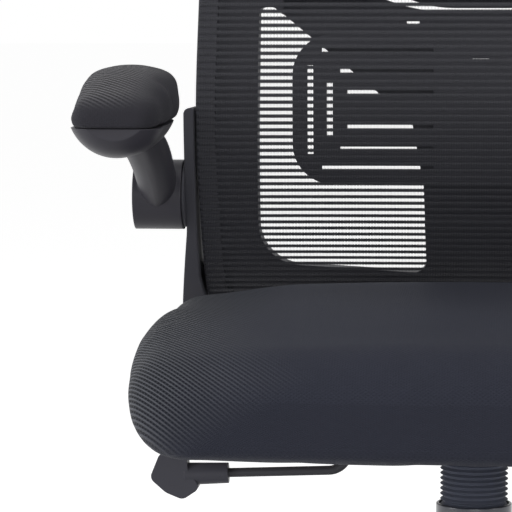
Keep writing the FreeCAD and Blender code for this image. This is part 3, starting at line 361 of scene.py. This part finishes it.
spacer = {
    "driftScale": 14.0, "driftDetail": 5.0,
    "deep": 0.9, "pale": 1.1, "fleck": 1.5,  # tones, as shares of the thread's colour
    "fleckFrom": 0.4, "fleckTo": 0.8, "fleckShare": 0.35,
    "matt": 0.52, "mattFibre": 0.15,
    "ribDepth": 1.4 * mm,
    "specular": 0.04, "sheen": 0.02, "sheenRoughness": 0.45,
}


def spacerCloth(name, thread, cell, crest, grooveShade, pitch, rib):
    # stretched spacer cloth for the seat and the arm pads; the ribs carry a painted highlight on
    # their crests and painted shade in their grooves
    s = spacer
    material, tree, shader = newMaterial(name)
    place = objectPlace(tree)
    knit = useGroup(tree, knitGroup, {"Map": clothPlace(tree), "Place": place, "Pitch": pitch,
                                      "Rib": rib})
    slow = noise(tree, place, s["driftScale"], s["driftDetail"])
    tone = blendColours(tree, slow, tint(thread, s["deep"]), tint(thread, s["pale"]))
    fleck = remap(tree, knit["Fibre"], s["fleckFrom"], s["fleckTo"], 0.0, s["fleckShare"])
    flecked = blendColours(tree, fleck, tone, tint(thread, s["fleck"]))
    flat = blendColours(tree, knit["Cell"], flecked, tint(cell))
    # painted light on the ribs: the crest colour is a painted highlight, the groove colour painted
    # shade
    paintedRibs = blendColours(tree, knit["Crest"], tint(grooveShade), tint(crest))
    tree.links.new(blendColours(tree, knit["DrawnAndLit"], flat, paintedRibs), shader["Base Color"])
    matt = calc(tree, "MULTIPLY_ADD", knit["Fibre"], s["mattFibre"], s["matt"])
    tree.links.new(matt, shader["Roughness"])
    addRelief(tree, shader, Height=knit["Height"], Strength=1.0, Distance=s["ribDepth"])
    shader["Specular IOR Level"].default_value = s["specular"]
    shader["Sheen Weight"].default_value = s["sheen"]
    shader["Sheen Roughness"].default_value = s["sheenRoughness"]
    return material


knittedRow = {
    "loop": 0.25,  # relief of a stitch beside that of the row
    "fibreScale": 2400.0, "fibreDetail": 2.0,
    "deep": 0.6, "pale": 1.5,  # tones, as shares of the thread's colour
    "paleFrom": 0.3, "paleTo": 0.75,
    "relief": 0.5, "rowDepth": 0.6 * mm,
    "roughness": 0.7, "specular": 0.3, "sheen": 0.05,
}


def rowCloth(name, thread, stitch):
    # the back's knitted rows; clothMap's X runs along the row in metres, and its Z across the
    # row from edge to edge
    s = knittedRow
    material, tree, shader = newMaterial(name)
    laid = splitVector(tree, clothPlace(tree))
    loops = calc(tree, "COSINE", calc(tree, "MULTIPLY", laid["X"], math.tau / stitch))
    crown = calc(tree, "COSINE", calc(tree, "MULTIPLY", laid["Z"], math.pi))
    height = calc(tree, "MULTIPLY_ADD", loops, s["loop"], crown)
    fibre = noise(tree, objectPlace(tree), s["fibreScale"], s["fibreDetail"])
    pale = remap(tree, fibre, s["paleFrom"], s["paleTo"])
    tone = blendColours(tree, pale, tint(thread, s["deep"]), tint(thread, s["pale"]))
    tree.links.new(tone, shader["Base Color"])
    addRelief(tree, shader, Height=height, Strength=s["relief"], Distance=s["rowDepth"])
    shader["Roughness"].default_value = s["roughness"]
    shader["Specular IOR Level"].default_value = s["specular"]
    shader["Sheen Weight"].default_value = s["sheen"]
    return material


backMesh = {
    "pitch": 5.85 * mm,  # from row to row, up the back
    "row": 3.1 * mm,  # knitted height of a row
    "tooth": 1.4 * mm,  # one stitch along a row, which the finish also reads
    "bite": 0.5 * mm,  # how far a stitch stands out of the row's edge
    "thread": 0.18 * mm,  # clear threads that join the rows
    "threadStep": 2.8 * mm,
    "lap": 0.6 * mm,  # how far a thread runs into a row
    "fold": 2.4 * mm,  # radius where the cloth turns over the rim
    "turn": 0.58,  # length that the turn itself takes up, in folds
    "tuck": 5.0 * mm,  # length drawn in behind the fold
    "stand": 0.5 * mm,  # clear of the rim
    "trimmed": 0.97,  # share of the cloth left once its corners are cut
}

finishes = {
    "base_nylon": plastic(
        "baseNylon", (0.020, 0.021, 0.026), roughness=0.55, grain=0.7 * mm, relief=0.35,
        edge=1.2 * mm),
    "cover_plastic": plastic(
        "coverGloss", (0.022, 0.024, 0.034), roughness=0.28, grain=1.2 * mm, relief=0.04,
        edge=0.8 * mm, specular=0.45, coat=0.25),
    "black_steel": plastic(
        "powderCoat", (0.028, 0.028, 0.033), roughness=0.50, grain=0.9 * mm, relief=0.30,
        edge=0.8 * mm, specular=0.18),
    "bush_plastic": plastic(
        "bushPlastic", (0.040, 0.040, 0.044), roughness=0.50, grain=0.8 * mm, relief=0.15,
        edge=0.6 * mm),
    "boot_rubber": plastic(
        "bootRubber", (0.062, 0.068, 0.092), roughness=0.60, grain=0.9 * mm, relief=0.20,
        edge=0.3 * mm, specular=0.20),
    "grip_plastic": plastic(
        "gripPlastic", (0.037, 0.037, 0.046), roughness=0.45, grain=0.7 * mm, relief=0.15,
        edge=1.2 * mm, specular=0.14),
    "frame_plastic": plastic(
        "framePlastic", (0.040, 0.040, 0.048), roughness=0.58, grain=0.7 * mm, relief=0.30,
        edge=1.5 * mm, specular=0.14),
    "arm_plastic": plastic(
        "armPlastic", (0.0285, 0.0275, 0.034), roughness=0.42, grain=0.6 * mm, relief=0.10,
        edge=1.5 * mm, specular=0.14),
    "caster_plastic": plastic(
        "casterPlastic", (0.022, 0.022, 0.025), roughness=0.35, grain=0.8 * mm, relief=0.08,
        edge=0.8 * mm, specular=0.4),
    "wheel_plastic": plastic(
        "wheelNylon", (0.028, 0.028, 0.030), roughness=0.55, grain=0.6 * mm, relief=0.20,
        edge=0.8 * mm),
    "pan_wood": plastic(
        "seatBoard", (0.20, 0.13, 0.075), roughness=0.62, grain=1.0 * mm, relief=0.25,
        edge=0.8 * mm),
    "steel": metal(
        "zincSteel", (0.62, 0.62, 0.63), roughness=0.34, streak=(1.0, 1.0, 0.08)),
    # for both cloths, crest is a painted highlight on the ribs and groove a painted shade between
    # them
    "seat_fabric": spacerCloth(
        "seatCloth", thread=(0.0225, 0.0242, 0.0345), cell=(0.0196, 0.0212, 0.0305),
        crest=(0.086, 0.090, 0.102), grooveShade=(0.0035, 0.0042, 0.0065),
        pitch=2.4 * mm, rib=3.6 * mm),
    "pad_fabric": spacerCloth(
        "padCloth", thread=(0.0265, 0.0258, 0.0315), cell=(0.0215, 0.0210, 0.0255),
        crest=(0.106, 0.103, 0.113), grooveShade=(0.0040, 0.0040, 0.0055),
        pitch=2.3 * mm, rib=4.4 * mm),
    "mesh_fabric": rowCloth("rowCloth", (0.019, 0.0195, 0.0245), backMesh["tooth"]),
}

for part in frame["record"]["subparts"]:
    if part.get("material_slot") in finishes and part["node"] in nodes:
        dress(nodes[part["node"]], finishes[part["material_slot"]])
print("finishes made:", len(finishes))


# soft goods

def clothCopy(node, name, inset):
    # a merged copy of a soft solid, drawn in a little so that it can swell to size
    bm = bmesh.new()
    bm.from_mesh(nodes[node].data)
    bmesh.ops.remove_doubles(bm, verts=bm.verts, dist=0.02 * mm)
    bm.normal_update()
    for v in bm.verts:
        v.co -= v.normal * inset
    return newObject(name, bm)


filling = {"stiffness": 25, "bending": 1.5, "quality": 5, "smoothing": 0.5}


def fillCover(piece, settings, resting):
    # cloth with pressure inside it, held where it rests on a hard piece
    held = piece.vertex_groups.new(name="held")
    held.add([v.index for v in piece.data.vertices if resting(v.co)], 1.0, "REPLACE")
    cloth = modifier(piece, "CLOTH")
    cloth.settings.use_pressure = True
    cloth.settings.uniform_pressure_force = settings["pressure"]
    cloth.settings.effector_weights.gravity = 0.0
    cloth.settings.vertex_group_mass = "held"
    cloth.settings.quality = filling["quality"]
    cloth.settings.tension_stiffness = filling["stiffness"]
    cloth.settings.compression_stiffness = filling["stiffness"]
    cloth.settings.bending_stiffness = filling["bending"]
    cloth.point_cache.frame_end = settings["frames"]
    for step in range(1, settings["frames"] + 1):
        scene.frame_set(step)
    applyModifiers(piece)
    scene.frame_set(1)


def swell(piece, settings, resting):
    # an even mesh, filled and smoothed; no point goes further than the cap
    modifier(piece, "REMESH", mode="VOXEL", voxel_size=settings["voxel"])
    modifier(piece, "SMOOTH", factor=filling["smoothing"], iterations=settings["smooth"])
    applyModifiers(piece)
    rest = [v.co.copy() for v in piece.data.vertices]
    fillCover(piece, settings, resting)
    for v, start in zip(piece.data.vertices, rest):
        moved = v.co - start
        if moved.length > settings["cap"]:
            v.co = start + moved * (settings["cap"] / moved.length)
    modifier(piece, "SMOOTH", factor=filling["smoothing"], iterations=settings["settle"])
    applyModifiers(piece)


clothLay = {
    "corner": 5,  # how suddenly the flat top turns into the sides
    "under": 1.6,  # extra length below the middle, where the cover turns under
    "least": 1e-6,
}


def layCloth(piece, low, high, drawnAndLit):
    # the cover's own measure: flat on top and unrolled down the sides, with how hard the cloth
    # is drawn as the third value, which also places the painted rib highlight and shade
    mesh = piece.data
    centre = (low + high) / 2
    half = (high - low) / 2
    mapped = mesh.attributes.new("clothMap", "FLOAT_VECTOR", "POINT")
    for v, spot in zip(mesh.vertices, mapped.data):
        x = (v.co.x - centre.x) / half.x
        y = (v.co.y - centre.y) / half.y
        sideX = math.copysign(min(1, abs(x)) ** clothLay["corner"], x)
        sideY = math.copysign(min(1, abs(y)) ** clothLay["corner"], y)
        share = max(clothLay["least"], math.hypot(sideX, sideY))
        down = max(0.0, high.z - v.co.z)
        under = max(0.0, centre.z - v.co.z)
        drop = (down + under * clothLay["under"]) * min(1, share)
        spot.vector = (v.co.x + drop * sideX / share, v.co.y + drop * sideY / share,
                       drawnAndLit(x, down / half.z / 2))


seat = {
    "voxel": 5 * mm, "smooth": 2, "settle": 3,
    "inset": 0.8 * mm, "pressure": 4.0, "frames": 20, "cap": 3 * mm,
    "heldRound": 12 * mm,  # how far outside the pan's edge the cover is held
    "heldAbove": 2 * mm,  # and how far above the pan
    "drawIn": 16 * mm,  # how far the cover pulls the rear corners in
    "drawFrom": 20 * mm, "drawOver": 180 * mm,  # Y where that starts, and the length it takes
    "cornerFrom": 0.55, "cornerOver": 0.4,  # the same across, in half widths
    "sink": 0.3,  # how far a corner sinks for what it is pulled in
    "lip": 2.6 * mm,  # how far the front edge hangs lower
    "lipReach": 120 * mm, "lipOver": 100 * mm,  # from the front, and the length it takes
    "ribFrom": 0.35,  # least distance of the ribs from the middle, in half widths
    "ribNarrow": 0.6,  # how fast they draw back above and below
    "ribLevel": 0.3,  # the depth where they reach furthest
}


def makeSeat():
    low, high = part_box("seat_cushion")
    panLow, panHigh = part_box("seat_pan")
    middle = (low.z + high.z) / 2

    def onPan(v):
        reach = seat["heldRound"]
        inX = panLow.x - reach < v.x < panHigh.x + reach
        inY = panLow.y - reach < v.y < panHigh.y + reach
        return inX and inY and v.z < panHigh.z + seat["heldAbove"]

    # ribs on the flanks, and with them the painted rib highlight and shade
    def drawnAndLit(x, down):
        edge = seat["ribFrom"] + seat["ribNarrow"] * abs(down - seat["ribLevel"])
        return ease((abs(x) - edge) / (1 - edge))

    cover = clothCopy("seat_cushion", "seat_cover", seat["inset"])
    swell(cover, seat, onPan)
    for v in cover.data.vertices:
        x, y, z = v.co
        corner = ease((abs(x) / high.x - seat["cornerFrom"]) / seat["cornerOver"])
        rear = ease((y - seat["drawFrom"]) / seat["drawOver"])
        pull = rear * corner * seat["drawIn"] * ease((z - middle) / (high.z - middle))
        front = ease((low.y + seat["lipReach"] - y) / seat["lipOver"])
        hang = front * ease((middle - z) / (middle - low.z))
        v.co.x -= math.copysign(pull, x)
        v.co.z -= pull * seat["sink"] + seat["lip"] * hang
    layCloth(cover, low, high, drawnAndLit)
    modifier(cover, "SUBSURF", levels=1, render_levels=1)
    smoothShade(cover)
    dress(cover, finishes["seat_fabric"])
    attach(cover, "seat")
    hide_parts("seat_cushion")


armPad = {
    "voxel": 3 * mm, "smooth": 5, "settle": 4,
    "inset": 0.2 * mm, "pressure": 4.0, "frames": 16, "cap": 2 * mm,
    "heldAbove": 3 * mm,  # height of the pad's foot, which is held
    "shoulder": 6 * mm,  # how far the outer front shoulder is drawn in
    "shoulderBack": 0.4,  # how far behind the middle that starts, in half lengths
    "shoulderRise": 1.4,  # height over which it grows, in half heights
    "ribFrom": 0.1, "ribOver": 0.7,  # where the ribs fade out across, in half widths
    "ribDown": 0.35, "ribFade": 0.35,  # and down the side, in heights
}


def makePads():
    low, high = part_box("arm_pad_left")
    centre = (low + high) / 2
    half = (high - low) / 2

    def onCup(v):
        return v.z < low.z + armPad["heldAbove"]

    # ribs on the outer side, and with them the painted rib highlight and shade
    def drawnAndLit(x, down):
        across = 1 - ease((x - armPad["ribFrom"]) / armPad["ribOver"])
        return across * (1 - ease((down - armPad["ribDown"]) / armPad["ribFade"]))

    left = clothCopy("arm_pad_left", "arm_pad_cover_left", armPad["inset"])
    swell(left, armPad, onCup)
    for v in left.data.vertices:
        x, y, z = v.co
        outer = ease((centre.x - x) / half.x)
        front = ease((centre.y + half.y * armPad["shoulderBack"] - y) / half.y)
        rise = ease((z - low.z) / half.z / armPad["shoulderRise"])
        v.co.x += armPad["shoulder"] * outer * front * rise
    layCloth(left, low, high, drawnAndLit)
    bm = bmesh.new()
    bm.from_mesh(left.data)
    bmesh.ops.scale(bm, vec=(-1, 1, 1), verts=bm.verts)
    bmesh.ops.reverse_faces(bm, faces=bm.faces)
    right = newObject("arm_pad_cover_right", bm)
    for pad, side in ((left, "left"), (right, "right")):
        modifier(pad, "SUBSURF", levels=1, render_levels=1)
        smoothShade(pad)
        dress(pad, finishes["pad_fabric"])
        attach(pad, "arm_" + side)
        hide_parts("arm_pad_" + side)


makeSeat()
makePads()
print("cushions made")


# the back's cloth: knitted rows joined by clear threads, turned over the rim

backForm = {
    "face": 212 * mm,  # Y of the cloth at its foremost line
    "wrap": 1600 * mm,  # bend round the sitter
    "apex": 640 * mm,  # height of the foremost line
    "lowRadius": 305 * mm,
    "highRadius": 1800 * mm,
    "footIn": 4 * mm,  # how much the foot is narrower, on each side
    "footRound": 40 * mm,
    "waist": 621 * mm,  # height of the widest place
    "waistRound": 1500 * mm,
    "topHalf": 224 * mm,
    "topDrop": 8 * mm,  # from the middle of the top edge down to its corners
    "topRound": 74 * mm,
    "crownRound": 900 * mm,
    "step": 1 * mm,  # between points of the outline
}


def backRadius(rise):
    return backForm["highRadius"] if rise > 0 else backForm["lowRadius"]


def backPoint(x, z, depth):
    # a point of the back, as far behind the cloth's face as depth
    rise = z - backForm["apex"]
    radius = backRadius(rise)
    reach = radius - depth
    y = backForm["face"] + radius - math.sqrt(reach * reach - rise * rise)
    turn = y - backForm["face"] + backForm["wrap"]
    return Vector((x, backForm["face"] - backForm["wrap"] + math.sqrt(turn * turn - x * x), z))


def heightAt(run):
    # height of a point from its distance up the back, measured from the foremost line
    radius = backRadius(run)
    return backForm["apex"] + radius * math.sin(run / radius)


def runAt(z):
    # the same distance from the height
    rise = z - backForm["apex"]
    radius = backRadius(rise)
    return radius * math.asin(rise / radius)


def roundedOutline(corners, step):
    # points round a closed outline whose corners are (x, z, radius)
    points = []
    count = len(corners)
    for i, (x, z, radius) in enumerate(corners):
        corner = Vector((x, z))
        back = (Vector(corners[i - 1][:2]) - corner).normalized()
        ahead = (Vector(corners[(i + 1) % count][:2]) - corner).normalized()
        half = back.angle(ahead) / 2
        centre = corner + (back + ahead).normalized() * (radius / math.sin(half))
        first = corner + back * (radius / math.tan(half)) - centre
        sweep = math.pi - 2 * half
        turn = math.copysign(1, -back.cross(ahead))
        pieces = max(2, int(radius * sweep / step))
        for k in range(pieces + 1):
            angle = turn * sweep * k / pieces
            points.append(centre + Matrix.Rotation(angle, 2) @ first)
    dense = []
    for i, point in enumerate(points):
        following = points[(i + 1) % len(points)]
        parts = max(1, int((following - point).length / step))
        dense += [point.lerp(following, k / parts) for k in range(parts)]
    return dense


def rimEdge(low, high):
    # the rim's outline from in front, and a finder of its nearest point
    foot = high.x - backForm["footIn"]
    top = high.z - backForm["topDrop"]
    edge = roundedOutline([
        (-foot, low.z, backForm["footRound"]),
        (foot, low.z, backForm["footRound"]),
        (high.x, backForm["waist"], backForm["waistRound"]),
        (backForm["topHalf"], top, backForm["topRound"]),
        (0, high.z, backForm["crownRound"]),
        (-backForm["topHalf"], top, backForm["topRound"]),
        (-high.x, backForm["waist"], backForm["waistRound"]),
    ], backForm["step"])
    finder = kdtree.KDTree(len(edge))
    for i, point in enumerate(edge):
        finder.insert((point.x, 0, point.y), i)
    finder.balance()
    return edge, finder


def foldOver(x, z, edge, finder):
    # place of a point of the flat cloth once it is turned over the rim; None where it is cut away
    fold = backMesh["fold"]
    spot, i = finder.find((x, 0, z))[:2]
    tangent = edge[(i + 2) % len(edge)] - edge[i - 2]
    outward = Vector((tangent.y, -tangent.x)).normalized()
    inside = -Vector((x - spot[0], z - spot[2])).dot(outward)
    if inside > fold:
        return backPoint(x, z, 0)
    run = fold - inside
    if run > fold + backMesh["tuck"] + fold * backMesh["turn"]:
        return None
    bend = min(run / fold, math.pi / 2)
    across = fold * (math.sin(bend) - 1) + backMesh["stand"]
    depth = fold * (1 - math.cos(bend)) + max(0, run - fold * math.pi / 2)
    place = Vector((spot[0], spot[2])) + outward * across
    return backPoint(place.x, place.y, depth)


def layGrid(columns, bands, across, up, wanted, placed):
    # the wanted faces of a unit grid, laid out flat by across and up and then put in place
    bm = bmesh.new()
    bmesh.ops.create_grid(bm, x_segments=columns, y_segments=bands, size=0.5)
    mapped = bm.verts.layers.float_vector.new("clothMap")
    dropped = []
    for f in bm.faces:
        spot = f.calc_center_median()
        if not wanted(int((spot.x + 0.5) * columns), int((spot.y + 0.5) * bands)):
            dropped.append(f)
    bmesh.ops.delete(bm, geom=dropped, context="FACES")
    lost = []
    for v in bm.verts:
        i = round((v.co.x + 0.5) * columns)
        j = round((v.co.y + 0.5) * bands)
        x = across(i)
        run = up(i, j)
        v[mapped] = (x, run, j % 2 - 0.5)
        place = placed(x, heightAt(run))
        if place is None:
            lost.append(v)
        else:
            v.co = place
    bmesh.ops.delete(bm, geom=lost, context="VERTS")
    return bm


def makeBackCloth():
    s = backMesh
    low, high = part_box("back_mesh")
    edge, finder = rimEdge(low, high)
    half = high.x
    spare = s["fold"] + s["tuck"]
    runLow = runAt(low.z) - spare
    runHigh = runAt(high.z) + spare
    rows = int((runHigh - runLow) / s["pitch"])
    width = 2 * (half + spare)

    def placed(x, z):
        return foldOver(x, z, edge, finder)

    def rowEdge(j):
        # lower edges are even, upper ones odd
        return runLow + (j // 2) * s["pitch"] + (j % 2) * s["row"]

    def stitchAcross(i):
        return -width / 2 + i * s["tooth"] / 2

    def stitchUp(i, j):
        return rowEdge(j) + s["bite"] * (1 if i % 2 else -1) * (1 if j % 2 else -1)

    def threadAcross(i):
        return -width / 2 + (i // 2) * s["threadStep"] + (i % 2) * s["thread"]

    def threadUp(i, j):
        return rowEdge(j) + s["lap"] * (-1 if j % 2 else 1)

    stitches = int(width / s["tooth"]) * 2
    threads = int(width / s["threadStep"]) * 2
    rowMesh = layGrid(stitches, rows * 2, stitchAcross, stitchUp,
                      lambda i, j: j % 2 == 0, placed)
    threadMesh = layGrid(threads, rows * 2, threadAcross, threadUp,
                         lambda i, j: j % 2 == 1 and i % 2 == 0, placed)
    rowPiece = newObject("back_cloth_rows", rowMesh)
    threadPiece = newObject("back_cloth_threads", threadMesh)
    for piece in (rowPiece, threadPiece):
        smoothShade(piece)
        dress(piece, finishes["mesh_fabric"])
        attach(piece, "seat")
    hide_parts("back_mesh")
    print("back cloth:", rows, "rows,", len(rowPiece.data.polygons), "and",
          len(threadPiece.data.polygons), "faces")


makeBackCloth()


# pleated boot on the gas lift, made at one length; on the chair it is drawn out as the seat rises

boot = {
    "pleats": 21,
    "depth": 3.3 * mm,
    "collar": 4 * mm,
    "wall": 1.1 * mm,
    "around": 72,
    "sharpFrom": 60,  # degrees
    # one pleat from root to crest and back, in depths and pitches
    "pleat": ((0.06, 0.07), (0.90, 0.43), (1.0, 0.5), (0.90, 0.57), (0.06, 0.93)),
}


def makeBoot():
    low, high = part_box("dust_boot")
    root = high.x - boot["depth"]
    foot = low.z + boot["collar"]
    head = high.z - boot["collar"]
    pitch = (head - foot) / boot["pleats"]
    profile = [(root, low.z), (root, foot)]
    for i in range(boot["pleats"]):
        profile += [(root + out * boot["depth"], foot + (i + up) * pitch)
                    for out, up in boot["pleat"]]
    profile += [(root, head), (root, high.z)]
    bm = bmesh.new()
    line = [bm.verts.new((r, 0, z)) for r, z in profile]
    runs = [bm.edges.new(pair) for pair in zip(line, line[1:])]
    bmesh.ops.spin(bm, geom=line + runs, cent=(0, 0, 0), axis=(0, 0, 1), angle=math.tau,
                   steps=boot["around"], use_merge=True)
    bmesh.ops.remove_doubles(bm, verts=bm.verts, dist=0.01 * mm)
    bmesh.ops.recalc_face_normals(bm, faces=bm.faces)
    piece = newObject("dust_boot_pleats", bm)
    modifier(piece, "SOLIDIFY", thickness=boot["wall"], offset=-1.0)
    applyModifiers(piece)
    smoothShade(piece, boot["sharpFrom"])
    dress(piece, finishes["boot_rubber"])
    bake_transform(piece)
    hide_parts("dust_boot")


makeBoot()
print("boot made")


# floor, light and camera

studio = {
    "floorRadius": 60.0,
    "floorSides": 96,
    "floorTone": 0.80,
    "floorRoughness": 0.9,
    "floorLift": 0.68,  # glow of the floor where the camera sees it
    "worldLight": 0.38,  # the world's strength on the object; the camera sees it at 1
}


def rayShare(tree):
    # one for what the camera sees, straight, by reflection or through glass
    path = addNode(tree, "LightPath").outputs
    straight = calc(tree, "ADD", path["Is Camera Ray"], path["Is Glossy Ray"])
    return calc(tree, "ADD", straight, path["Is Transmission Ray"], clamp=True)


def makeFloor():
    bm = bmesh.new()
    bmesh.ops.create_circle(bm, cap_ends=True, radius=studio["floorRadius"],
                            segments=studio["floorSides"])
    floor = newObject("floor", bm)
    material, tree, shader = newMaterial("paleFloor")
    shader["Base Color"].default_value = tint([studio["floorTone"]] * 3)
    shader["Roughness"].default_value = studio["floorRoughness"]
    shader["Specular IOR Level"].default_value = 0.0
    shader["Emission Color"].default_value = (1, 1, 1, 1)
    glow = calc(tree, "MULTIPLY", rayShare(tree), studio["floorLift"])
    tree.links.new(glow, shader["Emission Strength"])
    floor.data.materials.append(material)


def makeWorld():
    world = bpy.data.worlds.new("studioWorld")
    scene.world = world
    world.use_nodes = True
    tree = world.node_tree
    back = tree.nodes["Background"].inputs
    back["Color"].default_value = (1, 1, 1, 1)
    lift = addNode(tree, "MapRange", {"Value": rayShare(tree), "To Min": studio["worldLight"],
                                      "To Max": 1.0})
    tree.links.new(lift.outputs["Result"], back["Strength"])


lamps = {
    # name: place, aim, width, height, power in watts
    "overhead": ((-0.3, -0.5, 2.6), (0.0, 0.0, 0.5), 2.2, 1.8, 17.0),
    "leftSoft": ((-2.3, -1.0, 1.3), (0.0, 0.0, 0.55), 0.9, 1.6, 41.0),
    "rightSoft": ((2.2, -1.0, 1.2), (0.0, 0.0, 0.55), 0.9, 1.6, 20.0),
    "frontSoft": ((0.3, -3.4, 0.8), (0.0, 0.0, 0.5), 1.6, 1.4, 33.0),
}


def placeHolder(name, content, place, heading):
    # lamps and cameras look along their own -Z
    holder = bpy.data.objects.new(name, content)
    holder.location = place
    holder.rotation_euler = heading.to_track_quat("-Z", "Y").to_euler()
    scene.collection.objects.link(holder)
    return holder


def makeLamps():
    for name, (place, aim, width, height, power) in lamps.items():
        lamp = bpy.data.lights.new(name, "AREA")
        lamp.shape = "RECTANGLE"
        lamp.size = width
        lamp.size_y = height
        lamp.energy = power
        placeHolder(name, lamp, place, Vector(aim) - Vector(place))


photoView = {
    "place": (0.034, -2.17, 0.704),
    "heading": (-0.0936, 1.0, -0.0869),  # from the camera to the middle of the picture
    "lens": 199.2,
    "sensor": 36.0,
}


def makeCamera():
    lens = bpy.data.cameras.new("photoCamera")
    lens.sensor_width = photoView["sensor"]
    lens.lens = photoView["lens"]
    scene.camera = placeHolder("photoCamera", lens, photoView["place"],
                               Vector(photoView["heading"]))


makeFloor()
makeWorld()
makeLamps()
makeCamera()
scene.view_settings.view_transform = "Standard"
print("stage, lamps and camera set")
